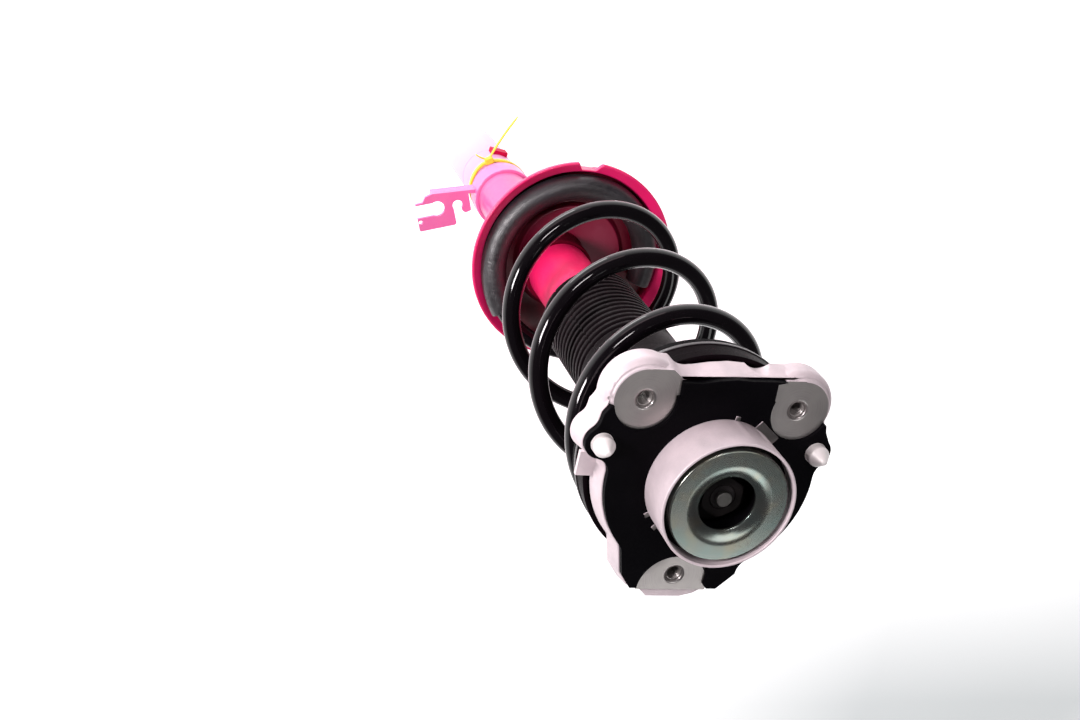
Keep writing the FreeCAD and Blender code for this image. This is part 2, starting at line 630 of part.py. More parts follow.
def casting(seal):
    """Make the top mount's casting with its cup, drafted flange, bosses, bolt pads and holes."""
    outline = feature("flange_outline", flange_face())
    outline.Placement.Base = Vector(0, 0, size("face_top"))
    flange = doc.addObject("Part::Extrusion", "flange_block")
    flange.Base = outline
    flange.DirMode = "Custom"
    flange.Dir = Vector(0, 0, -1)
    flange.Solid = True
    flange.setExpression("LengthFwd", bound("flange_depth"))
    flange.setExpression("TaperAngle", bound("atan(flange_draft / flange_depth)").replace("Dims.atan", "atan"))
    doc.recompute()
    low, top = size("flange_low"), size("face_top")
    centre = Vector()
    solid = flange.Shape
    for place, upper, lower in SCALLOPS:
        solid = solid.cut(Part.makeCone(lower, upper, top - low, place + Vector(0, 0, low)))
    solid = solid.fuse(bosses()).cut(seal)
    solid = solid.fuse([raised(seat, low, size("seat_top")) for seat in seats()])
    solid = solid.fuse([raised(ledge(), low, size("seat_top") - size("ledge_drop")),
                        raised(poly_face(SIDE_LUG), low, low + SIDE_LUG_HEIGHT),
                        rod(centre, size("cup_radius"), size("spigot_low"), size("overall_height"))])
    for angle, width, depth in CUP_NIBS:
        nib = box_at(angle, size("cup_radius") - 1, size("cup_radius") + depth, width, top,
                     size("seal_top") + NIB_RISE)
        solid = solid.fuse(nib)
    solid = solid.cut(rod(centre, size("cup_bore"), size("floor_top"), size("overall_height") + 1))
    solid = solid.cut(rod(centre, size("floor_hole"), size("spigot_low") - 1, size("floor_top") + 1))
    solid = solid.cut(rod(centre, size("cup_radius") - size("spigot_wall"), size("spigot_low") - 1, low))
    mouth = size("bolt_mouth") - size("bolt_hole")
    for hole in bolt_centres():
        solid = solid.cut(rod(hole, size("bolt_hole"), low - 1, size("seat_top")))
        chamfer = Part.makeCone(size("bolt_hole"), size("bolt_mouth"), mouth,
                                hole + Vector(0, 0, size("seat_top") - mouth))
        solid = solid.cut(chamfer)
    for pin in pin_centres():
        solid = solid.cut(rod(pin, size("pin_shank"), top - size("pin_shank_depth"), top + 1))
    feature("mount_casting", solid.removeSplitter())


def face_seal():
    """Make the rubber seal on the casting's face, open round the cup, the pads and the pins."""
    edge = eased(sealed_face(), size("blend_radius")).makeOffset2D(-size("seal_margin"))
    edge = Part.Face(edge.Wires[0]) if edge.ShapeType != "Face" else edge
    seal = raised(edge, size("face_top"), size("seal_top"))
    high = size("seal_top") + 1
    cutters = [raised(outline, size("face_top"), high) for outline in seats() + [ledge()]]
    cutters += [rod(pin, size("pin_foot"), size("face_top"), high) for pin in pin_centres()]
    cutters.append(rod(Vector(), size("cup_radius"), size("face_top"), high))
    for angle, width, depth in CUP_NIBS:
        cutters.append(box_at(angle, size("cup_radius") - 1, size("cup_radius") + depth, width,
                              size("face_top"), high))
    seal = max(seal.cut(cutters).Solids, key=lambda item: item.Volume)
    feature("face_seal", seal)
    return seal


def pins():
    """Make the two locating pins, each a shank, a foot, a straight part and a cone."""
    face, seal = size("face_top"), size("seal_top")
    solids = []
    for centre in pin_centres():
        shoulder = seal + size("pin_straight")
        shank = rod(centre, size("pin_shank"), face - size("pin_shank_depth"), face)
        foot = rod(centre, size("pin_foot"), face, seal)
        straight = rod(centre, size("pin_radius"), seal, shoulder)
        cone = Part.makeCone(size("pin_radius"), size("pin_tip"), size("pin_cone"), centre + Vector(0, 0, shoulder))
        solids.append(shank.fuse([foot, straight, cone]).removeSplitter())
    feature("locating_pins", Part.makeCompound(solids))


def bush():
    """Make the rubber bush, its core, the washer, the rod nut and the cover disc."""
    ring("bush_core", "rod_thread", "bush_core_radius", "core_low", "core_top")
    turned("bush_rubber", [("bush_core_radius", "core_low"), ("floor_hole", "floor_top"),
                           ("cup_bore", "floor_top"), ("cup_bore", "disc_low"),
                           ("disc_flat", "disc_low"), ("washer_radius + 1", "core_top - 2"),
                           ("bush_core_radius", "core_top - 2")])
    ring("nut_washer", "rod_thread", "washer_radius", "core_top", "washer_top")
    corner = size("nut_flats") / math.sqrt(3)
    nut = Part.Face(hexagon(corner)).cut(disc_face(Vector(), size("rod_thread")))
    feature("rod_nut", raised(nut, size("washer_top"), size("washer_top") + size("nut_height")))
    turned("cover_disc", [
        ("disc_radius - disc_thick", "disc_low"), ("disc_radius", "disc_low"), ("disc_radius", "disc_top"),
        ("disc_flat", "disc_top"), ("disc_foot", "disc_top - disc_dish"),
        ("disc_hole", "disc_top - disc_dish"), ("disc_hole", "disc_top - disc_dish - disc_thick"),
        ("disc_foot + 1", "disc_top - disc_dish - disc_thick"),
        ("disc_flat + 1", "disc_top - disc_thick"), ("disc_radius - disc_thick", "disc_top - disc_thick")])


def bearing():
    """Make the strut bearing: two grooved races, a cage and its balls."""
    upper = ring("upper_race_blank", "cup_radius", "race_outer", "upper_race_low", "flange_low")
    lower = ring("lower_race_blank", "race_inner", "race_outer", "plate_top", "lower_race_top")
    groove = {"Radius1": "ball_circle", "Radius2": "ball_radius + running_fit"}
    for label, blank in (("bearing_upper_race", upper), ("bearing_lower_race", lower)):
        track = primitive("Part::Torus", f"{label}_track", groove, ("0", "0", "ball_height"))
        less(label, blank, track)
    count = int(size("ball_count"))
    places = [at_angle(size("ball_circle"), 360 * index / count, size("ball_height")) for index in range(count)]
    balls = [Part.makeSphere(size("ball_radius"), place) for place in places]
    feature("bearing_balls", Part.makeCompound(balls))
    reach = size("ball_radius") + size("cage_margin")
    low = size("ball_height") - size("cage_thick") / 2
    cage = rod(Vector(), size("ball_circle") + reach, low, low + size("cage_thick"))
    cage = cage.cut(rod(Vector(), size("ball_circle") - reach, low, low + size("cage_thick")))
    pockets = [Part.makeSphere(size("ball_radius") + size("running_fit"), place) for place in places]
    feature("bearing_cage", cage.cut(pockets))


def upper_seat():
    """Make the upper spring plate and the rubber pad under it."""
    turned("upper_spring_plate", [
        ("plate_bore", "plate_low"), ("plate_radius", "plate_low"),
        ("plate_radius", "plate_low + plate_height"),
        ("plate_radius - plate_thick", "plate_low + plate_height"),
        ("plate_radius - plate_thick", "plate_top"), ("plate_bore", "plate_top")])
    ring("upper_spring_pad", "coil_high_radius - wire_radius - upper_pad_lap", "plate_radius - 1",
         "upper_pad_low", "plate_low")


def bump_stop():
    """Make the bump stop and the cup that holds it."""
    turned("bump_stop_cup", [
        ("rod_radius + 1", "bump_top"), ("bump_radius", "bump_top"),
        ("bump_radius", "flange_low - bump_cup_depth"),
        ("bump_cup_radius", "flange_low - bump_cup_depth"),
        ("bump_cup_radius", "flange_low"), ("rod_radius + 1", "flange_low")])
    turned("bump_stop", [
        ("rod_radius + 0.5", "bump_low"), ("bump_tip", "bump_low"), ("bump_tip + 4", "bump_low + 9"),
        ("bump_waist - 3", "bump_low + 18"), ("bump_radius - 1", "bump_low + 30"),
        ("bump_waist", "bump_low + 42"), ("bump_radius", "flange_low - bump_cup_depth"),
        ("bump_radius", "bump_top"), ("rod_radius + 0.5", "bump_top")])


def boot():
    """Make the dust boot: ribs from a ruled loft of circles, a smooth collar, a bore and a cuff."""
    low, top = size("boot_low"), size("plate_low")
    pitch = size("boot_pitch")
    peak, valley = size("boot_radius"), size("boot_valley")
    steps = [(peak, low)]
    for index in range(int(size("boot_ribs"))):
        foot = low + index * pitch
        steps += [(peak, foot + 0.42 * pitch), (valley, foot + 0.58 * pitch),
                  (valley, foot + 0.78 * pitch), (peak, foot + 0.94 * pitch)]
    ribs_top = low + size("boot_ribs") * pitch
    collar, upper = peak - size("boot_collar_drop"), peak - size("boot_top_drop")
    steps += [(collar, ribs_top + 0.5 * pitch), (upper, ribs_top + 4.5 * pitch), (upper, top)]
    circles = [Part.Wire(Part.makeCircle(radius, Vector(0, 0, height))) for radius, height in steps]
    solid = Part.makeLoft(circles, True, True)
    cuff_top = low + size("boot_cuff")
    solid = solid.cut(rod(Vector(), size("boot_bore"), cuff_top, top + 1))
    solid = solid.cut(rod(Vector(), size("tube_radius") + size("cuff_gap"), low - 1, cuff_top + 1))
    feature("dust_boot", solid)


def smooth(value):
    """Return an eased step from 0 to 1."""
    value = min(max(value, 0.0), 1.0)
    return value * value * (3 - 2 * value)


def ramp(value):
    """Return a ramp that starts at 0 with a rounded foot."""
    if value <= -RISE_BLEND:
        return 0.0
    if value >= RISE_BLEND:
        return value
    return (value + RISE_BLEND) ** 2 / (4 * RISE_BLEND)


def wire_point(angle):
    """Return the spring's centre line at an angle counted up from the wire's lower tip."""
    low, high = size("coil_low"), size("coil_high")
    start = size("coil_rise_start")
    stop = start + 360 * size("coil_turns")
    share = (ramp(angle - start) - ramp(angle - stop)) / (stop - start)
    radius = size("coil_radius")
    radius -= (radius - size("coil_low_radius")) * (1 - smooth((angle - start + 70) / 170))
    radius -= (radius - size("coil_high_radius")) * smooth((angle - stop + 125) / 170)
    centre = Vector(size("pan_centre_x"), size("pan_centre_y"), 0) * (1 - share)
    return centre + at_angle(radius, angle, low + (high - low) * share)


def biarc(start, start_way, end, end_way):
    """Return two arcs that join two points along two directions."""
    chord = end - start
    both = start_way + end_way
    cosine = start_way.dot(end_way)
    square = chord.dot(chord)
    reach = (-chord.dot(both) + math.sqrt(chord.dot(both) ** 2 + 2 * (1 - cosine) * square)) / (2 * (1 - cosine))
    first, last = start + start_way * reach, end - end_way * reach
    middle = (first + last) * 0.5
    arcs = []
    for near, corner, far in ((start, first, middle), (middle, last, end)):
        half = (far - near).Length / 2
        foot = (near + far) * 0.5
        height = (corner - foot).Length
        bulge = half * math.tan(math.atan(height / half) / 2)
        arcs.append(Part.Arc(near, foot + (corner - foot) * (bulge / height), far).toShape())
    return arcs


def wire_arcs(start, stop):
    """Return the spring's centre line between two angles as biarcs of up to a quarter turn."""
    count = math.ceil((stop - start) / 90)
    angles = [start + (stop - start) * index / count for index in range(count + 1)]
    points = [wire_point(angle) for angle in angles]
    ways = [(wire_point(angle + 0.05) - wire_point(angle - 0.05)).normalize() for angle in angles]
    edges = []
    for index in range(count):
        edges += biarc(points[index], ways[index], points[index + 1], ways[index + 1])
    return edges


def tube_on(path, radius):
    """Return a solid tube along a path."""
    edge = path.Edges[0]
    place = edge.valueAt(edge.FirstParameter)
    way = edge.tangentAt(edge.FirstParameter)
    section = Part.Wire(Part.makeCircle(radius, place, way))
    return path.makePipeShell([section], True, False)


def least_gap(path):
    """Return the spring's least gap to itself, measured on points along its path."""
    points = path.discretize(Distance=6.0)
    apart = int(math.pi * size("coil_low_radius") / 6.0)
    nearest = min((one - other).Length for index, one in enumerate(points) for other in points[index + apart:])
    return nearest - 2 * size("wire_radius")


def spring():
    """Make the coil spring and the rubber sleeve on its lower end turn."""
    start = size("coil_low_start")
    stop = size("coil_rise_start") + 360 * size("coil_turns") + size("coil_high_dead")
    arcs = wire_arcs(start, stop)
    path = Part.Wire(arcs)
    gap = least_gap(path)
    print("least gap of the spring to itself", round(gap, 2), "mm")
    if gap <= GAP_LIMIT:
        raise RuntimeError("the spring's turns are too close")
    solid = tube_on(path, size("wire_radius"))
    area = math.pi * size("wire_radius") ** 2
    print("spring volume over section times length", round(solid.Volume / (area * path.Length), 4))
    feature("coil_spring", solid)
    sleeve_arcs = wire_arcs(start - size("sleeve_tip"), size("sleeve_end"))
    sleeve = tube_on(Part.Wire(sleeve_arcs), size("sleeve_radius"))
    bore = tube_on(Part.Wire(arcs[:len(sleeve_arcs)]), size("wire_radius") + size("sleeve_fit"))
    feature("lower_spring_sleeve", sleeve.cut(bore))


def pan():
    """Make the lower spring pan: a dish off the damper's axis with a neck on the tube."""
    dish = turned("pan_dish", [
        ("0", "pan_low"), ("pan_channel + pan_thick", "pan_low"),
        ("pan_channel + pan_thick + 2", "pan_floor + pan_lip - pan_thick"),
        ("pan_radius", "pan_floor + pan_rim - pan_thick - 1"), ("pan_radius", "pan_floor + pan_rim"),
        ("pan_channel + 2", "pan_floor + pan_lip"), ("pan_channel", "pan_floor"),
        ("pan_step + pan_thick", "pan_floor"), ("pan_step", "pan_plate_top"), ("0", "pan_plate_top")])
    for axis in "xy":
        dish.setExpression(f"Placement.Base.{axis}", bound(f"pan_centre_{axis}"))
    neck = primitive("Part::Cylinder", "pan_neck", {"Radius": "neck_radius", "Height": "neck_top - pan_low"},
                     ("0", "0", "pan_low"))
    bore = primitive("Part::Cylinder", "pan_bore", {"Radius": "tube_radius", "Height": "neck_top"},
                     ("0", "0", "pan_low - 1"))
    blank = less("pan_blank", joined("pan_solid", [dish, neck]), bore)
    notch = box_at(size("pan_notch_angle"), size("pan_radius") - size("pan_notch_depth"), size("pan_radius") + 5,
                   size("pan_notch_width"), size("pan_floor"), size("pan_floor") + size("pan_rim") + 1)
    notch.translate(Vector(size("pan_centre_x"), size("pan_centre_y"), 0))
    less("spring_pan", blank, feature("pan_notch", notch))


def bracket():
    """Make the hose bracket and the collar that holds it to the tube."""
    ring("bracket_collar", "tube_radius", "tube_radius + collar_wall", "collar_low", "collar_low + collar_height")
    low = size("collar_low") + size("bracket_rise")
    top = low + size("bracket_thick")
    outline = eased(poly_face(BRACKET_OUTLINE), BRACKET_CORNER, BRACKET_CORNER)
    solid = raised(outline, low, top)
    way = HEM_END - HEM_START
    hem = Part.makeBox(way.Length, size("bracket_thick"), size("bracket_hem"),
                       Vector(0, 0, top - size("bracket_hem")))
    hem.rotate(Vector(), Z_AXIS, math.degrees(math.atan2(way.y, way.x)))
    hem.translate(HEM_START)
    solid = solid.fuse(hem)
    solid = solid.cut(rod(INNER_SLOT_CENTRE, size("inner_slot"), low - 1, top + 1))
    solid = solid.cut(rod(OUTER_SLOT_CENTRE, size("outer_slot"), low - 1, top + 1))
    way = OUTER_SLOT_MOUTH - OUTER_SLOT_CENTRE
    half = OUTER_SLOT_SHARE * size("outer_slot")
    channel = Part.makeBox(way.Length + 6, 2 * half, 2 * size("bracket_thick"),
                           Vector(0, -half, low - size("bracket_thick") / 2))
    channel.rotate(Vector(), Z_AXIS, math.degrees(math.atan2(way.y, way.x)))
    channel.translate(OUTER_SLOT_CENTRE)
    solid = solid.cut(channel)
    solid = solid.cut(rod(BRACKET_HOLE_CENTRE, size("bracket_hole"), low - 1, top + 1))
    collar = rod(Vector(), size("tube_radius") + size("collar_wall"), 0, size("tube_top"))
    feature("hose_bracket", solid.cut(collar).removeSplitter())


def tie_and_lug():
    """Make the cable tie and the locating lug on the tube."""
    low = size("tie_height")
    high = low + size("tie_width")
    tube = size("tube_radius")
    outer = tube + size("tie_thick")
    angle = size("tie_angle")
    band = rod(Vector(), outer, low, high)
    head = box_at(angle, tube - 1, tube + size("tie_head") * 0.75, size("tie_head"), low - 1, high + 1)
    tail = Part.makeBox(size("tie_tail"), size("tie_tail_thick"), size("tie_width") - 1,
                        Vector(0, -size("tie_tail_thick") / 2, low + 0.5))
    tail.rotate(Vector(), Z_AXIS, size("tie_tail_angle"))
    tail.translate(at_angle(outer + 1, angle))
    inside = rod(Vector(), tube, low - 2, high + 2)
    feature("cable_tie", band.fuse([head, tail]).cut(inside).removeSplitter())
    lug = box_at(size("lug_angle"), tube - 2, tube + size("lug_stand"), size("lug_width"), size("lug_low"),
                 size("lug_low") + size("lug_height"))
    feature("locating_lug", lug.cut(rod(Vector(), tube, 0, size("tube_top"))))


NODES = (
    "strut_tube", "tube_end_cap", "tube_top_cap", "rod_guide", "rod_seal", "inner_cylinder", "base_valve",
    "spring_pan", "lower_spring_sleeve", "hose_bracket", "bracket_collar", "locating_lug", "cable_tie",
    "coil_spring", "dust_boot", "upper_spring_plate", "upper_spring_pad", "bearing_lower_race",
    "bearing_cage", "bearing_balls", "bearing_upper_race", "mount_casting", "face_seal", "locating_pins",
    "bush_core", "bush_rubber", "nut_washer", "rod_nut", "cover_disc", "bump_stop_cup", "bump_stop",
    "piston_rod", "piston", "piston_ring", "piston_nut", "rebound_stop",
)


def check_and_export():
    """Refuse any failed object or bad shape, then write each sub-part's shape."""
    for item in doc.Objects:
        if "Invalid" in item.State or "Error" in item.State:
            raise RuntimeError(f"{item.Label} failed: {item.State}")
    shapes = {}
    for name in NODES:
        shape = doc.getObject(name).Shape
        if shape.isNull() or not shape.isValid() or not shape.Solids:
            raise RuntimeError(f"{name} has no valid solid")
        shapes[name] = shape
    os.makedirs("parts", exist_ok=True)
    for name, shape in shapes.items():
        shape.exportStep(os.path.join("parts", f"{name}.step"))
        print(name, len(shape.Solids), round(shape.Volume / 1000, 2), "cm3")


fill_sheet()
damper()
rod_and_piston()
casting(face_seal())
pins()
bush()
bearing()
upper_seat()
bump_stop()
boot()
spring()
pan()
bracket()
tie_and_lug()
doc.recompute()
check_and_export()
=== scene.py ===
"""Looks of a strut coilover: a damper with its coil spring, lower pan, dust boot and bolted top mount.

Sizes are millimetres in the damper's frame, with +Z up the damper, and go to metres as a mesh is made.
Angles are degrees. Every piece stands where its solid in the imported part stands.
"""
import logging
import math
from dataclasses import dataclass, replace
from enum import Enum
from functools import cache, reduce
from typing import Any, Callable, Sequence

import bmesh
import bpy
import numpy as np
from bpy.types import Material, Mesh, Node, NodeSocket, NodeTree, Object
from mathutils import Matrix, Vector


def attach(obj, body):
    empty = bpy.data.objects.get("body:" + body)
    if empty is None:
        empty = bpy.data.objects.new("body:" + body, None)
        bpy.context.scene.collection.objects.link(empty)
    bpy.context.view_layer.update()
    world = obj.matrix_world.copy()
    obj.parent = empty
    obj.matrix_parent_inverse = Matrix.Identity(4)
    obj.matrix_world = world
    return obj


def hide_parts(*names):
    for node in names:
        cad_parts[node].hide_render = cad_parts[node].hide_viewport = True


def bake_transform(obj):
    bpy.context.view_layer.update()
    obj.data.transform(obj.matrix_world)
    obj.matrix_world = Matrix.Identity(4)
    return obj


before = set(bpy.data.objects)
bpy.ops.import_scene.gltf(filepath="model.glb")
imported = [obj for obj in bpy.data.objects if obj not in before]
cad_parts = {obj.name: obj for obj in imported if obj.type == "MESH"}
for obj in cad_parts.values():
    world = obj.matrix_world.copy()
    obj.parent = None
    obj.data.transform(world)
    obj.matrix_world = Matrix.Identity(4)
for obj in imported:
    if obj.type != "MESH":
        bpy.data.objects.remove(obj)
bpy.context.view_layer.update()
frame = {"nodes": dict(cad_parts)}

LOG = logging.getLogger("coilover")
MM = 0.001
# How far apart heights that are meant to be the same may lie, and points that are one before and
# after an edge is rounded.
LEVEL_FIT = 0.02
POINT_FIT = 0.004
EASED_FIT = 0.01
# The angle over which the edge between two faces stays sharp, for turned pieces and for packed ones.
SHARP = 40.0
PACKED_SHARP = 34.0
# The angle under which packed faces are merged, and the one over which their edge can be rounded.
FLAT = 0.4
FOLDED = 28.0
Colour = tuple[float, float, float]
Point = tuple[float, float, float]
Corner = tuple[float, float, float]
Profile = tuple[Corner, ...]
Place = tuple[float, float]
EdgeTest = Callable[[np.ndarray, np.ndarray], bool]
FaceChoice = Callable[[np.ndarray], np.ndarray]
PAN_CENTRE: Place = (-12.4, -5.3)
# The radius at which a profile that reaches the axis ends, under a cap.
AXIS = 0.01


class Body(Enum):
    """The rigid bodies that the pieces ride on."""

    STRUT = "strut"
    SEAT = "upper_seat"
    MOUNT = "top_mount"


class Slot(Enum):
    """The material slots of the part's record."""

    TUBE = "painted_tube"
    PAN = "painted_pan"
    BRACKET = "painted_bracket"
    LUG = "painted_lug"
    DARK_STEEL = "dark_steel"
    STEEL = "plain_steel"
    BEARING = "bearing_steel"
    ROD = "polished_rod"
    RUBBER = "black_rubber"
    SLEEVE = "sleeve_rubber"
    BOOT = "boot_rubber"
    FOAM = "bump_foam"
    WIRE = "black_wire"
    PLATE = "plate_plastic"
    CAGE = "cage_plastic"
    RING = "ring_plastic"
    TIE = "yellow_plastic"
    CAST = "cast_aluminium"
    ZINC = "zinc_disc"


class Nodes:
    """Adds and joins the nodes of one tree."""

    def __init__(self, tree: NodeTree) -> None:
        """Hold the tree that the nodes go in."""
        self.tree = tree

    def add(self, kind: str, feeds: dict[Any, Any] | None = None, **settings: Any) -> Node:
        """Add a node.

        Args:
            kind: The node's type name.
            feeds: A socket or a value for each input, by its name or number.
            settings: The node's own settings.

        Returns:
            The new node.
        """
        node = self.tree.nodes.new(kind)
        for name, value in settings.items():
            setattr(node, name, value)
        for name, value in (feeds or {}).items():
            socket = node.inputs[name]
            if isinstance(value, NodeSocket):
                self.tree.links.new(value, socket)
            else:
                socket.default_value = (*value, 1.0) if socket.type == "RGBA" else value
        return node

    def math(self, operation: str, first: Any, second: Any = 0.0) -> NodeSocket:
        """Return the result of a Math node."""
        return self.add("ShaderNodeMath", {0: first, 1: second}, operation=operation).outputs[0]

    def mix(self, factor: Any, first: Any, second: Any) -> NodeSocket:
        """Return a mix of two colours."""
        return self.add("ShaderNodeMix", {0: factor, 6: first, 7: second}, data_type="RGBA").outputs[2]

    def parts(self, vector: Any) -> Any:
        """Return a vector's parts, by the name of their axis."""
        return self.add("ShaderNodeSeparateXYZ", {0: vector}).outputs

    def length(self, vector: Any) -> NodeSocket:
        """Return a vector's length."""
        return self.add("ShaderNodeVectorMath", {0: vector}, operation="LENGTH").outputs["Value"]

    def spread(self, value: Any, low: float, high: float, to_low: float = 0.0,
               to_high: float = 1.0) -> NodeSocket:
        """Return a value carried from one range to another, held at its ends."""
        feeds = {"Value": value, "From Min": low, "From Max": high, "To Min": to_low, "To Max": to_high}
        return self.add("ShaderNodeMapRange", feeds).outputs["Result"]

    def noise(self, place: Any, scale: Any, detail: float = 2.0, roughness: float = 0.5) -> NodeSocket:
        """Return a noise value about one half."""
        feeds = {"Vector": place, "Scale": scale, "Detail": detail, "Roughness": roughness}
        return self.add("ShaderNodeTexNoise", feeds).outputs["Fac"]


def new_effect(name: str, inputs: dict[str, str], outputs: dict[str, str]) -> tuple[Nodes, Any, Any]:
    """Start a shader node group.

    Args:
        name: The group's name.
        inputs: The type of each input socket, by its name.
        outputs: The type of each output socket, by its name.

    Returns:
        The group's nodes, the outputs of its input node and the inputs of its output node.
    """
    group = bpy.data.node_groups.new(name, "ShaderNodeTree")
    for sockets, way in ((inputs, "INPUT"), (outputs, "OUTPUT")):
        for label, kind in sockets.items():
            group.interface.new_socket(name=label, in_out=way, socket_type=f"NodeSocket{kind}")
    nodes = Nodes(group)
    start = nodes.add("NodeGroupInput")
    end = nodes.add("NodeGroupOutput")
    return nodes, start.outputs, end.inputs


@cache
def drift_effect() -> NodeTree:
    """Return the group that drifts slowly between two colours over the surface.

    Returns:
        The group, built the first time it is asked for.
    """
    inputs = {"Vector": "Vector", "Scale": "Float", "First": "Color", "Second": "Color"}
    nodes, given, out = new_effect("slow_drift", inputs, {"Color": "Color"})
    wave = nodes.spread(nodes.noise(given["Vector"], given["Scale"], 3.0), 0.35, 0.65)
    nodes.tree.links.new(nodes.mix(wave, given["First"], given["Second"]), out["Color"])
    return nodes.tree


@cache
def grain_effect() -> NodeTree:
    """Return the group for cast, moulded or sprayed grain: a coarse and a fine noise added.

    Returns:
        The group, built the first time it is asked for.
    """
    nodes, given, out = new_effect(
        "surface_grain", {"Vector": "Vector", "Scale": "Float"}, {"Height": "Float", "Mask": "Float"})
    coarse = nodes.noise(given["Vector"], given["Scale"])
    fine = nodes.noise(given["Vector"], nodes.math("MULTIPLY", given["Scale"], 3.7), 3.0, 0.6)
    height = nodes.math("ADD", nodes.math("MULTIPLY", coarse, 0.6), nodes.math("MULTIPLY", fine, 0.4))
    nodes.tree.links.new(height, out["Height"])
    nodes.tree.links.new(nodes.spread(height, 0.4, 0.6), out["Mask"])
    return nodes.tree


@cache
def dust_effect() -> NodeTree:
    """Return the group for dust and small specks: fine spots kept where a slow noise is high.

    Returns:
        The group, built the first time it is asked for.
    """
    nodes, given, out = new_effect(
        "dust_specks", {"Vector": "Vector", "Scale": "Float", "Amount": "Float"}, {"Mask": "Float"})
    cells = nodes.add("ShaderNodeTexVoronoi", {"Vector": given["Vector"], "Scale": given["Scale"]})
    spots = nodes.spread(cells.outputs["Distance"], 0.1, 0.22, 1.0, 0.0)
    where = nodes.spread(nodes.noise(given["Vector"], 45.0), 0.45, 0.7)
    haze = nodes.math("MULTIPLY", nodes.math("ADD", spots, nodes.math("MULTIPLY", where, 0.6)), where)
    nodes.tree.links.new(nodes.math("MULTIPLY", haze, given["Amount"]), out["Mask"])
    return nodes.tree


@cache
def turning_effect() -> NodeTree:
    """Return the group for lathe marks: a noise read along the distance from the piece's axis.

    Returns:
        The group, built the first time it is asked for.
    """
    nodes, given, out = new_effect(
        "turning_marks", {"Vector": "Vector", "Pitch": "Float"}, {"Height": "Float", "Mask": "Float"})
    flat = nodes.add("ShaderNodeVectorMath", {0: given["Vector"], 1: (1.0, 1.0, 0.0)}, operation="MULTIPLY")
    along = nodes.math("DIVIDE", nodes.length(flat.outputs[0]), given["Pitch"])
    marks = nodes.add("ShaderNodeTexNoise", {"W": along, "Scale": 1.0, "Detail": 2.0}, noise_dimensions="1D")
    nodes.tree.links.new(marks.outputs["Fac"], out["Height"])
    nodes.tree.links.new(nodes.spread(marks.outputs["Fac"], 0.35, 0.65), out["Mask"])
    return nodes.tree


class Finish:
    """A finish that can be made into a material. Each kind fills in its own nodes."""

    def fill(self, tree: "SurfaceNodes") -> None:
        """Add the finish's own nodes to a material."""
        raise NotImplementedError

    def material(self, name: str) -> Material:
        """Make the finish into a material.

        Args:
            name: The material's name.

        Returns:
            The new material.
        """
        material = bpy.data.materials.new(name)
        material.use_nodes = True
        self.fill(SurfaceNodes(material))
        return material


class SurfaceNodes(Nodes):
    """The nodes of a material, with its shader and the pattern's place at hand."""

    def __init__(self, material: Material) -> None:
        """Find the material's shader and add the coordinates that its patterns read.

        Args:
            material: The material, with its nodes in use.
        """
        super().__init__(material.node_tree)
        self.shader = next(node for node in self.tree.nodes if node.type == "BSDF_PRINCIPLED")
        self.place = self.add("ShaderNodeTexCoord").outputs["Object"]

    def plain(self, **values: Any) -> None:
        """Set the shader's own sockets, whose names have spaces for underscores."""
        for name, value in values.items():
            self.shader.inputs[name.replace("_", " ")].default_value = value

    def feed(self, socket: str, source: NodeSocket) -> None:
        """Join a result to one of the shader's sockets."""
        self.tree.links.new(source, self.shader.inputs[socket])

    def effect(self, group: NodeTree, **feeds: Any) -> Any:
        """Place a shared effect with its own values and return its outputs."""
        return self.add("ShaderNodeGroup", feeds, node_tree=group).outputs

    def grain(self, scale: float) -> Any:
        """Return the height and mask of grain, with so many coarse grains to a metre."""
        return self.effect(grain_effect(), Vector=self.place, Scale=scale)

    def marks(self, pitch: float, place: NodeSocket | None = None) -> Any:
        """Return the height and mask of lathe marks, a pitch in millimetres apart."""
        return self.effect(turning_effect(), Vector=place or self.place, Pitch=pitch * MM)

    def rough(self, mask: NodeSocket, low: float, high: float) -> None:
        """Let the roughness run between two values with a mask."""
        self.feed("Roughness", self.spread(mask, 0.0, 1.0, low, high))

    def about(self, centre: Place) -> NodeSocket:
        """Return the place measured from an axis at a centre given in millimetres."""
        shift = (-centre[0] * MM, -centre[1] * MM, 0.0)
        return self.add("ShaderNodeMapping", {"Vector": self.place, "Location": shift}).outputs[0]

    def colours(self, first: Colour, second: Colour, scale: float) -> NodeSocket:
        """Return a slow drift between two colours."""
        drift = self.effect(drift_effect(), Vector=self.place, Scale=scale, First=first, Second=second)
        return drift["Color"]

    def dusted(self, colour: Any, dust: Colour, amount: float, scale: float = 900.0) -> NodeSocket:
        """Return a colour with dust on it."""
        mask = self.effect(dust_effect(), Vector=self.place, Scale=scale, Amount=amount)["Mask"]
        return self.mix(mask, colour, dust)

    def relief(self, height: Any, depth: float, under: NodeSocket | None = None) -> NodeSocket:
        """Turn a height into a normal.

        Args:
            height: The height, from 0 to 1.
            depth: The depth of its full range, in millimetres.
            under: The normal that it lies on, where there is one.

        Returns:
            The new normal.
        """
        feeds = {"Height": height, "Distance": depth * MM}
        if under is not None:
            feeds["Normal"] = under
        return self.add("ShaderNodeBump", feeds).outputs["Normal"]


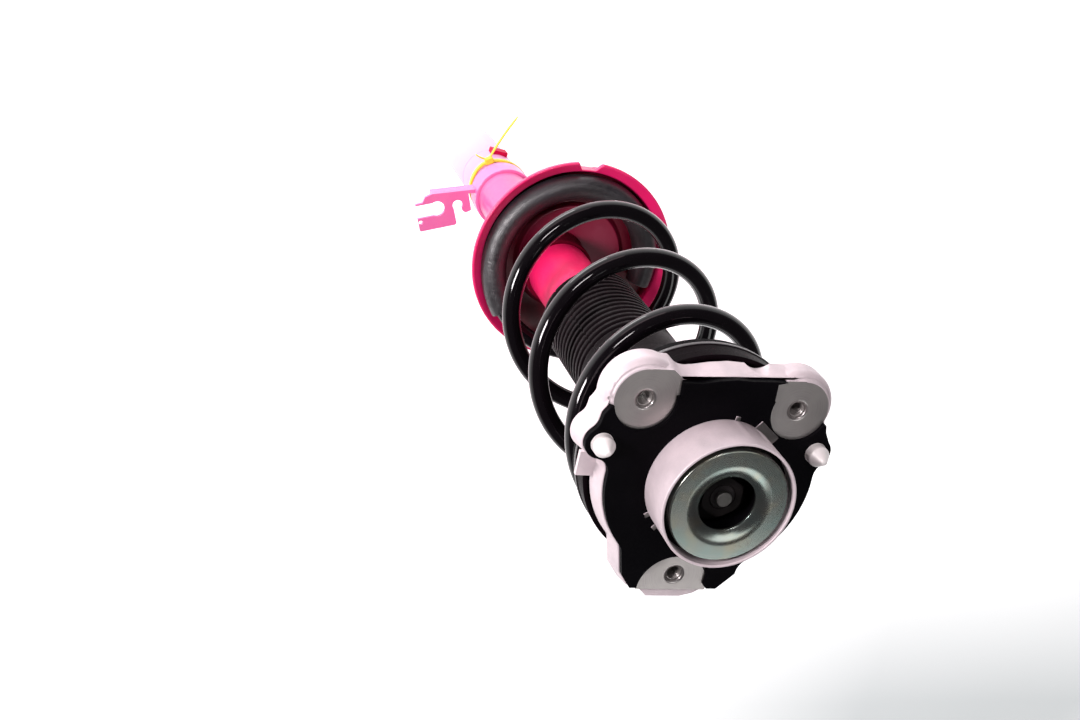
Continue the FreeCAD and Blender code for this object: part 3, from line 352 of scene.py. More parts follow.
@dataclass(frozen=True)
class GlossPaint(Finish):
    """Gloss paint or lacquer on steel: two near shades, orange peel, a clear coat and a little dust.

    Attributes:
        colour: The paint.
        shade: The paint where it lies thicker.
        dust: The dust's colour.
        dusty: How much dust there is.
        roughness: The paint's roughness.
        coat: The clear coat's weight.
        peel: The depth of the orange peel, in millimetres.
        painted_light_and_shade: Painted light and shade lower down, as paler or darker paints: where each is
            whole, where it ends, and its colour.
        shine: The paint's own specular level.
        clear: The clear coat's index of refraction.
        edge: The weight of the pale sheen at the paint's edges.
    """

    colour: Colour
    shade: Colour
    dust: Colour = (0.6, 0.5, 0.55)
    dusty: float = 0.1
    roughness: float = 0.3
    coat: float = 0.6
    peel: float = 0.05
    painted_light_and_shade: tuple[tuple[float, float, Colour], ...] = ()
    shine: float = 0.5
    clear: float = 1.5
    edge: float = 0.0

    def fill(self, tree: SurfaceNodes) -> None:
        """Add the paint's nodes.

        Args:
            tree: The nodes of the material.
        """
        paint = tree.colours(self.colour, self.shade, 18.0)
        # Painted light and shade: below its heights, each band mixes in a paler or darker paint.
        for low, high, colour in self.painted_light_and_shade:
            below = tree.spread(tree.parts(tree.place)["Z"], low * MM, high * MM, 1.0, 0.0)
            paint = tree.mix(below, paint, colour)
        grain = tree.grain(260.0)
        tree.feed("Base Color", tree.dusted(paint, self.dust, self.dusty))
        tree.rough(grain["Mask"], self.roughness, self.roughness + 0.08)
        tree.feed("Normal", tree.relief(grain["Height"], self.peel))
        tree.plain(Coat_Weight=self.coat, Coat_Roughness=0.06, Coat_IOR=self.clear,
                   Specular_IOR_Level=self.shine, Sheen_Weight=self.edge, Sheen_Roughness=0.12)


@dataclass(frozen=True)
class Rubber(Finish):
    """Moulded rubber or foam: two near shades, pale bloom, fine grain and a satin face.

    Attributes:
        colour: The rubber.
        bloom: The paler shade of its bloom.
        roughness: The face's roughness.
        grain: The grain's depth, in millimetres.
        fine: How many grains there are to a metre.
        dusty: How much dust there is.
        shine: The face's specular level.
        index: Its index of refraction.
    """

    colour: Colour
    bloom: Colour
    roughness: float = 0.5
    grain: float = 0.08
    fine: float = 700.0
    dusty: float = 0.12
    shine: float = 0.45
    index: float = 1.5

    def fill(self, tree: SurfaceNodes) -> None:
        """Add the rubber's nodes.

        Args:
            tree: The nodes of the material.
        """
        grain = tree.grain(self.fine)
        base = tree.colours(self.colour, self.bloom, 30.0)
        tree.feed("Base Color", tree.dusted(base, (0.3, 0.28, 0.29), self.dusty))
        tree.rough(grain["Mask"], self.roughness - 0.06, self.roughness + 0.12)
        tree.feed("Normal", tree.relief(grain["Height"], self.grain))
        tree.plain(Specular_IOR_Level=self.shine, IOR=self.index)


@dataclass(frozen=True)
class Steel(Finish):
    """Turned, ground or plated steel: lathe marks about an axis over a slow drift of tone.

    Attributes:
        colour: The metal.
        tone: Its second tone.
        roughness: The face's roughness.
        pitch: The distance between lathe marks, in millimetres.
        depth: The marks' depth, in millimetres.
        metal: How metallic the face is.
    """

    colour: Colour
    tone: Colour
    roughness: float = 0.32
    pitch: float = 0.35
    depth: float = 0.02
    metal: float = 1.0

    def fill(self, tree: SurfaceNodes) -> None:
        """Add the steel's nodes.

        Args:
            tree: The nodes of the material.
        """
        marks, grain = tree.marks(self.pitch), tree.grain(900.0)
        tree.feed("Base Color", tree.colours(self.colour, self.tone, 55.0))
        rough = tree.math("ADD", tree.math("MULTIPLY", marks["Mask"], 0.08), self.roughness)
        tree.feed("Roughness", tree.math("ADD", rough, tree.math("MULTIPLY", grain["Mask"], 0.06)))
        tree.feed("Normal", tree.relief(marks["Height"], self.depth, tree.relief(grain["Height"], 0.01)))
        tree.plain(Metallic=self.metal)


@dataclass(frozen=True)
class Cast(Finish):
    """Die-cast aluminium: a pale skin with fine grain, small pits and soft patches."""

    colour: Colour = (0.7, 0.6, 0.63)
    patch: Colour = (0.63, 0.54, 0.57)

    def fill(self, tree: SurfaceNodes) -> None:
        """Add the casting's nodes.

        Args:
            tree: The nodes of the material.
        """
        grain = tree.grain(650.0)
        skin = tree.colours(self.colour, self.patch, 90.0)
        tree.feed("Base Color", tree.dusted(skin, (0.42, 0.4, 0.41), 0.3, 520.0))
        tree.rough(grain["Mask"], 0.42, 0.6)
        tree.feed("Normal", tree.relief(grain["Height"], 0.16))
        tree.plain(Metallic=0.25, Specular_IOR_Level=0.5)


@dataclass(frozen=True)
class Machined(Finish):
    """A milled aluminium pad: faint arcs about the bolt hole and a dull grey tone.

    Attributes:
        centre: The hole's centre, in millimetres.
        colour: The metal.
        tone: Its second tone.
        metal: How metallic the face is.
    """

    centre: Place
    colour: Colour = (0.37, 0.345, 0.335)
    tone: Colour = (0.31, 0.29, 0.285)
    metal: float = 0.9

    def fill(self, tree: SurfaceNodes) -> None:
        """Add the pad's nodes.

        Args:
            tree: The nodes of the material.
        """
        marks, grain = tree.marks(0.5, tree.about(self.centre)), tree.grain(1500.0)
        metal = tree.colours(self.colour, self.tone, 120.0)
        tree.feed("Base Color", tree.mix(marks["Mask"], metal, self.colour))
        tree.rough(grain["Mask"], 0.28, 0.36)
        tree.feed("Normal", tree.relief(marks["Height"], 0.02, tree.relief(grain["Height"], 0.03)))
        tree.plain(Metallic=self.metal)


@dataclass(frozen=True)
class ZincPlate(Finish):
    """Zinc plated sheet: a grey face with faint green, yellow and blue clouds of passivation."""

    grey: Colour = (0.24, 0.255, 0.23)
    green: Colour = (0.215, 0.27, 0.25)
    gold: Colour = (0.28, 0.27, 0.21)

    def fill(self, tree: SurfaceNodes) -> None:
        """Add the plating's nodes.

        Args:
            tree: The nodes of the material.
        """
        clouds = tree.spread(tree.noise(tree.place, 75.0), 0.5, 0.68, 0.0, 0.8)
        base = tree.mix(clouds, tree.colours(self.grey, self.green, 60.0), self.gold)
        marks, grain = tree.marks(1.6), tree.grain(300.0)
        tree.feed("Base Color", tree.dusted(base, (0.2, 0.19, 0.17), 0.06, 1400.0))
        tree.rough(grain["Mask"], 0.21, 0.23)
        tree.feed("Normal", tree.relief(marks["Height"], 0.001))
        tree.plain(Metallic=0.95)


FINISHES: dict[Slot, Finish] = {
    # The tube's paint turns paler step by step towards its foot: painted light, for the strong light on the
    # lower tube.
    Slot.TUBE: GlossPaint((0.9, 0.008, 0.13), (0.8, 0.006, 0.1), (0.9, 0.5, 0.6), 0.04, 0.38, 0.3,
                          painted_light_and_shade=((200.0, 260.0, (0.8, 0.1, 0.32)), (85.0, 135.0, (0.84, 0.36, 0.62)),
                                 (10.0, 80.0, (0.9, 0.56, 0.76)))),
    Slot.PAN: GlossPaint((0.9, 0.012, 0.16), (0.8, 0.009, 0.13), (0.8, 0.3, 0.45), 0.05, 0.36, 0.3),
    Slot.BRACKET: GlossPaint((0.9, 0.2, 0.5), (0.84, 0.17, 0.45), (0.9, 0.6, 0.7), 0.1, 0.34, 0.4),
    # The lug's red is darker than the tube's: painted shade, as the lug sits in shadow.
    Slot.LUG: GlossPaint((0.52, 0.004, 0.05), (0.45, 0.003, 0.04), (0.6, 0.3, 0.35), 0.02, 0.4, 0.0,
                         shine=0.05),
    Slot.DARK_STEEL: Steel((0.12, 0.12, 0.125), (0.08, 0.08, 0.085), 0.45),
    Slot.STEEL: Steel((0.56, 0.55, 0.54), (0.48, 0.47, 0.46), 0.34),
    Slot.BEARING: Steel((0.62, 0.62, 0.63), (0.56, 0.56, 0.57), 0.16, 0.2, 0.006),
    Slot.ROD: Steel((0.78, 0.78, 0.8), (0.72, 0.72, 0.75), 0.08, 0.2, 0.003),
    Slot.RUBBER: Rubber((0.0012, 0.001, 0.0016), (0.002, 0.0016, 0.0025), 0.5, 0.05, dusty=0.002,
                        shine=0.03),
    Slot.SLEEVE: Rubber((0.007, 0.006, 0.008), (0.018, 0.015, 0.02), 0.41, 0.4, 380.0, 0.03, 0.9, 1.6),
    Slot.BOOT: Rubber((0.005, 0.003, 0.004), (0.008, 0.005, 0.006), 0.34, 0.05, 900.0, 0.02, 0.06),
    Slot.FOAM: Rubber((0.72, 0.62, 0.36), (0.62, 0.52, 0.28), 0.8, 0.3, 900.0),
    Slot.WIRE: GlossPaint((0.003, 0.002, 0.003), (0.004, 0.003, 0.004), (0.2, 0.18, 0.2), 0.01, 0.14, 1.0,
                          0.01, shine=0.02, clear=1.42, edge=0.8),
    Slot.PLATE: Rubber((0.004, 0.002, 0.003), (0.006, 0.004, 0.005), 0.3, 0.04, 1200.0, 0.005, 0.01),
    Slot.CAGE: Rubber((0.5, 0.47, 0.38), (0.44, 0.41, 0.33), 0.5, 0.04, 1200.0),
    Slot.RING: Rubber((0.1, 0.1, 0.1), (0.14, 0.14, 0.14), 0.5, 0.04, 1200.0),
    Slot.TIE: Rubber((0.85, 0.78, 0.06), (0.8, 0.7, 0.04), 0.36, 0.03, 900.0, 0.05),
    Slot.CAST: Cast(),
    Slot.ZINC: ZincPlate(),
}


# Near-black paint for the thread of the rod and the nut on it: painted shade, for the dark inside of the
# cup's hole.
BLACK_IN_SHADE = GlossPaint((0.01, 0.009, 0.009), (0.006, 0.005, 0.005), dusty=0.02, roughness=0.5, coat=0.0,
                       shine=0.05)


def smooth(value: np.ndarray) -> np.ndarray:
    """Return an eased step from 0 to 1: three squares less two cubes."""
    held = np.clip(value, 0.0, 1.0)
    return held * held * (3.0 - 2.0 * held)


def around(steps: int) -> np.ndarray:
    """Return evenly spaced angles round a circle, in radians."""
    return np.arange(steps) * (2.0 * math.pi / steps)


def rounded(corners: Sequence[Corner], steps: int = 5, closed: bool = True) -> np.ndarray:
    """Round the corners of a profile.

    Each corner becomes an arc that touches both its sides, or stays sharp where its ease is 0. The arc's
    centre lies on the line that halves the corner, and its reach along a side is under half of that side.

    Args:
        corners: Each corner's radius, height and ease.
        steps: The number of segments in an arc.
        closed: Whether the last corner joins the first.

    Returns:
        The profile's points, two numbers a row.
    """
    places = [np.array(corner[:2]) for corner in corners]
    points = []
    for index, corner in enumerate(corners):
        here, ease = places[index], corner[2]
        if ease <= 0.0 or (not closed and index in (0, len(corners) - 1)):
            points.append(here[None])
            continue
        before, after = places[index - 1] - here, places[(index + 1) % len(corners)] - here
        first, last = before / np.linalg.norm(before), after / np.linalg.norm(after)
        half = math.acos(np.clip(first @ last, -1.0, 1.0)) / 2.0
        reach = min(ease / math.tan(half), 0.48 * np.linalg.norm(before), 0.48 * np.linalg.norm(after))
        centre = here + (first + last) / np.linalg.norm(first + last) * (reach / math.cos(half))
        start, end = here + first * reach - centre, here + last * reach - centre
        share = np.linspace(0.0, 1.0, steps + 1)[:, None]
        turn = math.pi - 2.0 * half
        arc = (np.sin((1.0 - share) * turn) * start + np.sin(share * turn) * end) / math.sin(turn)
        points.append(centre + arc)
    return np.concatenate(points)


@dataclass
class Shape:
    """A surface's points in millimetres with its faces, each a row of point numbers.

    Attributes:
        points: The points, three numbers a row.
        faces: The faces' point numbers.
    """

    points: np.ndarray
    faces: list[list[int]]

    def joined(self, other: "Shape") -> "Shape":
        """Join this surface and another.

        Args:
            other: The other surface.

        Returns:
            Both surfaces' points and faces.
        """
        shift = len(self.points)
        faces = self.faces + [[point + shift for point in face] for face in other.faces]
        return Shape(np.concatenate([self.points, other.points]), faces)


def swept(grid: np.ndarray, capped: bool = False) -> Shape:
    """Close a grid of points into a surface that runs round in its second way.

    A grid closes in its first way too, like a ring. A capped one ends in a fan of triangles on each end
    row's middle point. The faces are turned to point outwards by the sign of the volume they hold.

    Args:
        grid: The points, as rows, columns and three numbers.
        capped: Whether the first and last rows end the surface.

    Returns:
        The closed surface.
    """
    rows, columns = grid.shape[:2]
    row, column = np.meshgrid(np.arange(rows - 1 if capped else rows), np.arange(columns), indexing="ij")
    below, beside = (row + 1) % rows, (column + 1) % columns
    here, there = row * columns, below * columns
    quads = np.stack([here + column, there + column, there + beside, here + beside], axis=-1).reshape(-1, 4)
    points = grid.reshape(-1, 3)
    triangles = np.zeros((0, 3), int)
    if capped:
        ring, middle = np.arange(columns), np.full(columns, len(points))
        after, last = (ring + 1) % columns, (rows - 1) * columns
        near = np.stack([after, middle, ring], axis=-1)
        far = np.stack([last + ring, middle + 1, last + after], axis=-1)
        triangles = np.concatenate([near, far])
        points = np.concatenate([points, grid[[0, -1]].mean(axis=1)])
    halves = np.concatenate([quads[:, [0, 1, 2]], quads[:, [0, 2, 3]], triangles])
    first, second, third = (points[halves[:, corner]] for corner in range(3))
    if np.einsum("ij,ij->", first, np.cross(second, third)) < 0.0:
        quads, triangles = quads[:, ::-1], triangles[:, ::-1]
    return Shape(points, quads.tolist() + triangles.tolist())


def lathe(radius: np.ndarray, height: np.ndarray, angles: np.ndarray, lean: np.ndarray | None = None,
          capped: bool = False) -> Shape:
    """Turn radii and heights about the damper's axis.

    A point lies at its row's centre plus its radius along its column's angle, at its height.

    Args:
        radius: The radii, a column of rows or a whole grid.
        height: The heights, in the same form.
        angles: The angle of each column, in radians.
        lean: Each row's centre, where it isn't on the axis.
        capped: Whether the first and last rows end the surface.

    Returns:
        The closed surface.
    """
    shape = (len(radius), len(angles))
    wide = np.broadcast_to(radius.reshape(len(radius), -1), shape)
    high = np.broadcast_to(height.reshape(len(height), -1), shape)
    grid = np.stack([wide * np.cos(angles), wide * np.sin(angles), high], axis=-1)
    if lean is not None:
        grid[..., :2] += lean[:, None]
    return swept(grid, capped)


def turned(corners: Sequence[Corner], steps: int = 144, arcs: int = 5, capped: bool = False) -> Shape:
    """Turn a profile with rounded corners about the damper's axis."""
    line = rounded(corners, arcs, not capped)
    return lathe(line[:, 0], line[:, 1], around(steps), capped=capped)


def repeated(shape: Shape, places: Sequence[Place]) -> Shape:
    """Return copies of a surface, moved across the damper to each place, as one."""
    copies = [Shape(shape.points + np.array([x, y, 0.0]), shape.faces) for x, y in places]
    return reduce(Shape.joined, copies)


def to_object(name: str, shape: Shape, sharp: float = SHARP, evened: bool = True) -> Object:
    """Make a surface into an object.

    Args:
        name: The piece's name.
        shape: Its surface.
        sharp: The angle between two faces over which their edge stays sharp.
        evened: Whether large faces set the shading of the rounded edges beside them.

    Returns:
        The new object, at the origin.
    """
    mesh = bpy.data.meshes.new(name)
    mesh.from_pydata((shape.points * MM).tolist(), [], shape.faces)
    return finished(name, mesh, sharp, evened)


def finished(name: str, mesh: Mesh, sharp: float, evened: bool = True) -> Object:
    """Shade a mesh smooth up to an angle and put it in the scene as an object.

    Args:
        name: The object's name.
        mesh: Its mesh.
        sharp: The angle between two faces over which their edge stays sharp.
        evened: Whether large faces set the shading of the rounded edges beside them.

    Returns:
        The new object, at the origin.
    """
    mesh.polygons.foreach_set("use_smooth", np.ones(len(mesh.polygons), bool))
    mesh.set_sharp_from_angle(angle=math.radians(sharp))
    mesh.update()
    piece = bpy.data.objects.new(name, mesh)
    bpy.context.scene.collection.objects.link(piece)
    if evened:
        piece.modifiers.new("evened", "WEIGHTED_NORMAL").keep_sharp = True
    return piece


def tones(piece: Object, materials: Sequence[Material], chosen: FaceChoice) -> None:
    """Give a piece several materials.

    Args:
        piece: The piece.
        materials: The materials.
        chosen: Returns each face's material number, from the faces' middles in millimetres.
    """
    mesh = piece.data
    for material in materials:
        mesh.materials.append(material)
    middles = np.zeros(len(mesh.polygons) * 3, np.float32)
    mesh.polygons.foreach_get("center", middles)
    mesh.polygons.foreach_set("material_index", chosen(middles.reshape(-1, 3) / MM).astype(np.int32))


@dataclass(frozen=True)
class Ease:
    """A rule for rounding a solid's edges: which ones, and how far.

    Attributes:
        chosen: Says whether an edge between two points, in millimetres, is rounded.
        width: How far the rounding reaches along each face.
        segments: The number of faces across it.
    """

    chosen: EdgeTest
    width: float
    segments: int = 3


def level(height: float, inner: float = 0.0) -> EdgeTest:
    """Make a test for edges at one height, out from the damper's axis.

    Args:
        height: The height, in millimetres.
        inner: The distance that the edge's middle has to pass.

    Returns:
        The test.
    """

    def chosen(first: np.ndarray, last: np.ndarray) -> bool:
        """Say whether both ends are at the height and the edge's middle is past the distance."""
        held = max(abs(first[2] - height), abs(last[2] - height)) < LEVEL_FIT
        return held and math.hypot(*((first + last) / 2.0)[:2]) > inner

    return chosen


def packed_copy(node: str) -> bmesh.types.BMesh:
    """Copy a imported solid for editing, with its triangles joined at their corners.

    Args:
        node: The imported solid's name.

    Returns:
        The copy, to be freed after use.
    """
    solid = bmesh.new()
    solid.from_mesh(frame["nodes"][node].data)
    bmesh.ops.remove_doubles(solid, verts=solid.verts, dist=POINT_FIT * MM)
    return solid


def eased_copy(node: str, name: str, rules: Sequence[Ease]) -> Object:
    """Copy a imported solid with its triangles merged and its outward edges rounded.

    Args:
        node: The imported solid's name.
        name: The new piece's name.
        rules: The rules for rounding, in the order in which they act.

    Returns:
        The new object.
    """
    solid = packed_copy(node)
    bmesh.ops.dissolve_limit(solid, angle_limit=math.radians(FLAT), verts=solid.verts, edges=solid.edges)
    for rule in rules:
        edges = []
        for edge in solid.edges:
            if len(edge.link_faces) == 2 and edge.calc_face_angle_signed(0.0) > math.radians(FOLDED):
                first, last = (np.array(point.co) / MM for point in edge.verts)
                if rule.chosen(first, last):
                    edges.append(edge)
        bmesh.ops.bevel(solid, geom=edges, offset=rule.width * MM, offset_type="OFFSET", affect="EDGES",
                        segments=rule.segments, profile=0.5, clamp_overlap=False)
        bmesh.ops.remove_doubles(solid, verts=solid.verts, dist=EASED_FIT * MM)
    mesh = bpy.data.meshes.new(name)
    solid.to_mesh(mesh)
    solid.free()
    return finished(name, mesh, PACKED_SHARP)


def eased_plate(node: str, name: str, low: float, top: float, ease: float) -> Object:
    """Rebuild a flat packed plate with its upper edges rounded.

    The upper face's points move inwards along their corners' halving lines, and arcs join them to the
    walls: at an angle t, a point lies ease (1 - cos t) inwards and ease (1 - sin t) under the top.

    Args:
        node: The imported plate's name.
        name: The new piece's name.
        low: The height of its lower face.
        top: The height of its upper face.
        ease: The rounding's radius.

    Returns:
        The new object.
    """
    solid = packed_copy(node)
    foot = (top - LEVEL_FIT) * MM
    upper = [face for face in solid.faces if min(point.co.z for point in face.verts) > foot]
    points = dict.fromkeys(point for face in upper for point in face.verts)
    number = {point: index for index, point in enumerate(points)}
    flat = np.array([point.co for point in number])[:, :2] / MM
    tops = [[number[point] for point in face.verts] for face in upper]
    sides = {(face[i], face[(i + 1) % len(face)]) for face in tops for i in range(len(face))}
    solid.free()
    rim = np.array([side for side in sides if side[::-1] not in sides])
    along = flat[rim[:, 1]] - flat[rim[:, 0]]
    along /= np.linalg.norm(along, axis=1, keepdims=True)
    inward = np.stack([-along[:, 1], along[:, 0]], axis=-1)
    total = np.zeros_like(flat)
    for end in (0, 1):
        np.add.at(total, rim[:, end], inward)
    length = np.sum(total * total, axis=1, keepdims=True)
    halving = np.where(length > 0.3, 2.0 * total / np.maximum(length, 1.0), 0.0)
    turns = np.linspace(0.0, math.pi / 2.0, 6)
    count = len(flat)
    rows = [np.column_stack([flat, np.full(count, low)])]
    for turn in turns:
        place = flat + halving * ease * (1.0 - math.cos(turn))
        rows.append(np.column_stack([place, np.full(count, top - ease * (1.0 - math.sin(turn)))]))
    highest = count * (len(rows) - 1)
    faces = [face[::-1] for face in tops] + [[point + highest for point in face] for face in tops]
    for step in range(len(rows) - 1):
        shift, above = step * count, (step + 1) * count
        faces += [[a + shift, b + shift, b + above, a + above] for a, b in rim.tolist()]
    return to_object(name, Shape(np.concatenate(rows), faces), PACKED_SHARP)


class Bench:
    """Dresses each piece, puts it on its body and reports it."""

    def __init__(self, nodes: dict[str, Object]) -> None:
        """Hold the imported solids."""
        self.nodes = nodes
        self.materials: dict[Slot, Material] = {}

    def finish(self, slot: Slot) -> Material:
        """Find a slot's material.

        Args:
            slot: The slot.

        Returns:
            Its material, made the first time it is asked for.
        """
        if slot not in self.materials:
            self.materials[slot] = FINISHES[slot].material(slot.value)
        return self.materials[slot]

    def turn(self, name: str, node: str, body: Body, slot: Slot, corners: Sequence[Corner],
             sharp: float = SHARP, **form: Any) -> None:
        """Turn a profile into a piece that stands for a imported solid, dress it and fit it to its body."""
        self.fit(to_object(name, turned(corners, **form), sharp), body, slot, node)

    def fit(self, piece: Object, body: Body, slot: Slot, *stands_for: str,
            own: Material | None = None) -> None:
        """Dress a piece, let it ride on a body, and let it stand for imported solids."""
        self.dress(piece, slot, *stands_for, own=own)
        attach(piece, body.value)

    def dress(self, piece: Object, slot: Slot, *stands_for: str, own: Material | None = None) -> None:
        """Give a piece its own or its slot's material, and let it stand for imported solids.

        Args:
            piece: The piece.
            slot: The slot of the part's record that it shows.
            stands_for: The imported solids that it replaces.
            own: A material of its own, in place of the slot's.
        """
        if not piece.data.materials:
            piece.data.materials.append(own or self.finish(slot))
        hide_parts(*stands_for)
        LOG.info("%s: %d faces, stands for %s", piece.name, len(piece.data.polygons), ", ".join(stands_for))

    def keep(self, slot: Slot, *names: str) -> None:
        """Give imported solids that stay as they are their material.

        Args:
            slot: The slot whose material they get.
            names: The solids' names.
        """
        for name in names:
            self.nodes[name].material_slots[0].material = self.finish(slot)
            LOG.info("%s: kept", name)


@dataclass
class Spring:
    """The coil spring and the rubber sleeve on its lower end turn.

    The wire's centre line climbs with its angle, from the lower seat to the upper one, and its centre
    moves from the pan's axis to the damper's as it climbs.
    """

    low: float = 267.6
    high: float = 524.4
    tip: float = 170.0
    rise: float = 359.0
    top: float = 1475.0
    end: float = 1640.0
    blend: float = 28.0
    coil_radius: float = 62.0
    low_radius: float = 55.0
    high_radius: float = 57.0
    low_lead: float = 70.0
    high_lead: float = 125.0
    widening: float = 170.0
    lean: Place = PAN_CENTRE
    wire: float = 6.0
    sleeve: float = 9.0
    sleeve_tip: float = 166.0
    sleeve_end: float = 400.0

    def share(self, angle: np.ndarray) -> np.ndarray:
        """Work out how much of the climb is done at each angle.

        A ramp starts at the rise and a second one is taken off from the top on. Each ramp's foot is a square
        of the angle past it, over four times the blend, so that it meets the ramp without a corner.

        Args:
            angle: The angles, in degrees.

        Returns:
            The share at each angle, from 0 to 1.
        """
        parts = []
        for foot in (self.rise, self.top):
            past = angle - foot
            curve = (np.maximum(past + self.blend, 0.0)) ** 2 / (4.0 * self.blend)
            parts.append(np.where(past >= self.blend, past, curve))
        return (parts[0] - parts[1]) / (self.top - self.rise)

    def line(self, angle: np.ndarray) -> np.ndarray:
        """Work out the wire's centre at each angle.

        It is a point at the coil's radius along the angle, about a centre that moves from the pan's axis to
        the damper's with the share of the climb. The radius eases from the low end's to the coil's and on to
        the high end's.

        Args:
            angle: The angles, in degrees.

        Returns:
            The centres, three numbers a row.
        """
        radius = np.full(angle.shape, self.coil_radius)
        low = smooth((angle - self.rise + self.low_lead) / self.widening)
        high = smooth((angle - self.top + self.high_lead) / self.widening)
        radius -= (radius - self.low_radius) * (1.0 - low)
        radius -= (radius - self.high_radius) * high
        share = self.share(angle)
        turn = np.radians(angle)
        across = radius * np.cos(turn) + self.lean[0] * (1.0 - share)
        along = radius * np.sin(turn) + self.lean[1] * (1.0 - share)
        return np.stack([across, along, self.low + (self.high - self.low) * share], axis=-1)

    def tube(self, angle: np.ndarray, radius: np.ndarray, steps: int) -> Shape:
        """Return a round tube on the wire's line.

        A point lies at the line's point plus the radius along a direction that turns from outwards to
        upwards, both at right angles to the line.

        Args:
            angle: The angle of each ring.
            radius: The radius of each ring.
            steps: The number of points in a ring.

        Returns:
            The closed tube.
        """
        middle = self.line(angle)
        way = self.line(angle + 0.1) - self.line(angle - 0.1)
        way /= np.linalg.norm(way, axis=1, keepdims=True)
        turn = np.radians(angle)
        out = np.stack([np.cos(turn), np.sin(turn), np.zeros_like(turn)], axis=-1)
        out -= way * np.sum(out * way, axis=1, keepdims=True)
        out /= np.linalg.norm(out, axis=1, keepdims=True)
        up = np.cross(way, out)
        ring = around(steps)
        cosine, sine = np.cos(ring)[None, :, None], np.sin(ring)[None, :, None]
        grid = middle[:, None] + radius[:, None, None] * (cosine * out[:, None] + sine * up[:, None])
        return swept(grid, capped=True)

    def ends(self, angle: np.ndarray, radius: float, ease: float) -> tuple[np.ndarray, np.ndarray]:
        """Add rings that round the edge of each blunt end.

        Along the quarter turn of an arc, a ring lies ease (1 - sin) inwards and ease (1 - cos) smaller.

        Args:
            angle: The rings' angles, in degrees.
            radius: The tube's radius.
            ease: The rounding's radius.

        Returns:
            The angles and the radii of the rings.
        """
        turn = np.linspace(0.0, math.pi / 2.0, 5)
        span = math.degrees(ease / self.low_radius)
        first = angle[0] + span * (1.0 - np.sin(turn))
        last = angle[-1] - span * (1.0 - np.sin(turn[::-1]))
        inner = angle[(angle > first[-1] + 0.3 * span) & (angle < last[0] - 0.3 * span)]
        edge = radius - ease * (1.0 - np.cos(turn))
        radii = np.concatenate([edge[::-1], np.full(len(inner), radius), edge])
        return np.concatenate([first[::-1], inner, last]), radii

    def follow(self, piece: Object, angle: np.ndarray, steps: int) -> None:
        """Bake a tube's place into its mesh, and work out each ring's share of the climb, which nothing uses.

        Args:
            piece: The tube.
            angle: The angle of each ring.
            steps: The number of points in a ring.
        """
        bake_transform(piece)
        weight = np.repeat(self.share(angle), steps)
        weight = np.concatenate([weight, self.share(angle[[0, -1]])])

    def build(self, bench: Bench) -> None:
        """Make the wire and its sleeve.

        Args:
            bench: The bench that dresses and places the pieces.
        """
        wire = np.arange(self.tip, self.end + 0.1, 3.0)
        sleeve = np.arange(self.sleeve_tip, self.sleeve_end + 0.1, 2.0)
        for name, slot, node, angle, radius, ease, steps in (
                ("coil_wire", Slot.WIRE, "coil_spring", wire, self.wire, 0.9, 32),
                ("spring_sleeve", Slot.SLEEVE, "lower_spring_sleeve", sleeve, self.sleeve, 1.6, 48)):
            angles, radii = self.ends(angle, radius, ease)
            piece = to_object(name, self.tube(angles, radii, steps), evened=False)
            bench.dress(piece, slot, node)
            self.follow(piece, angles, steps)


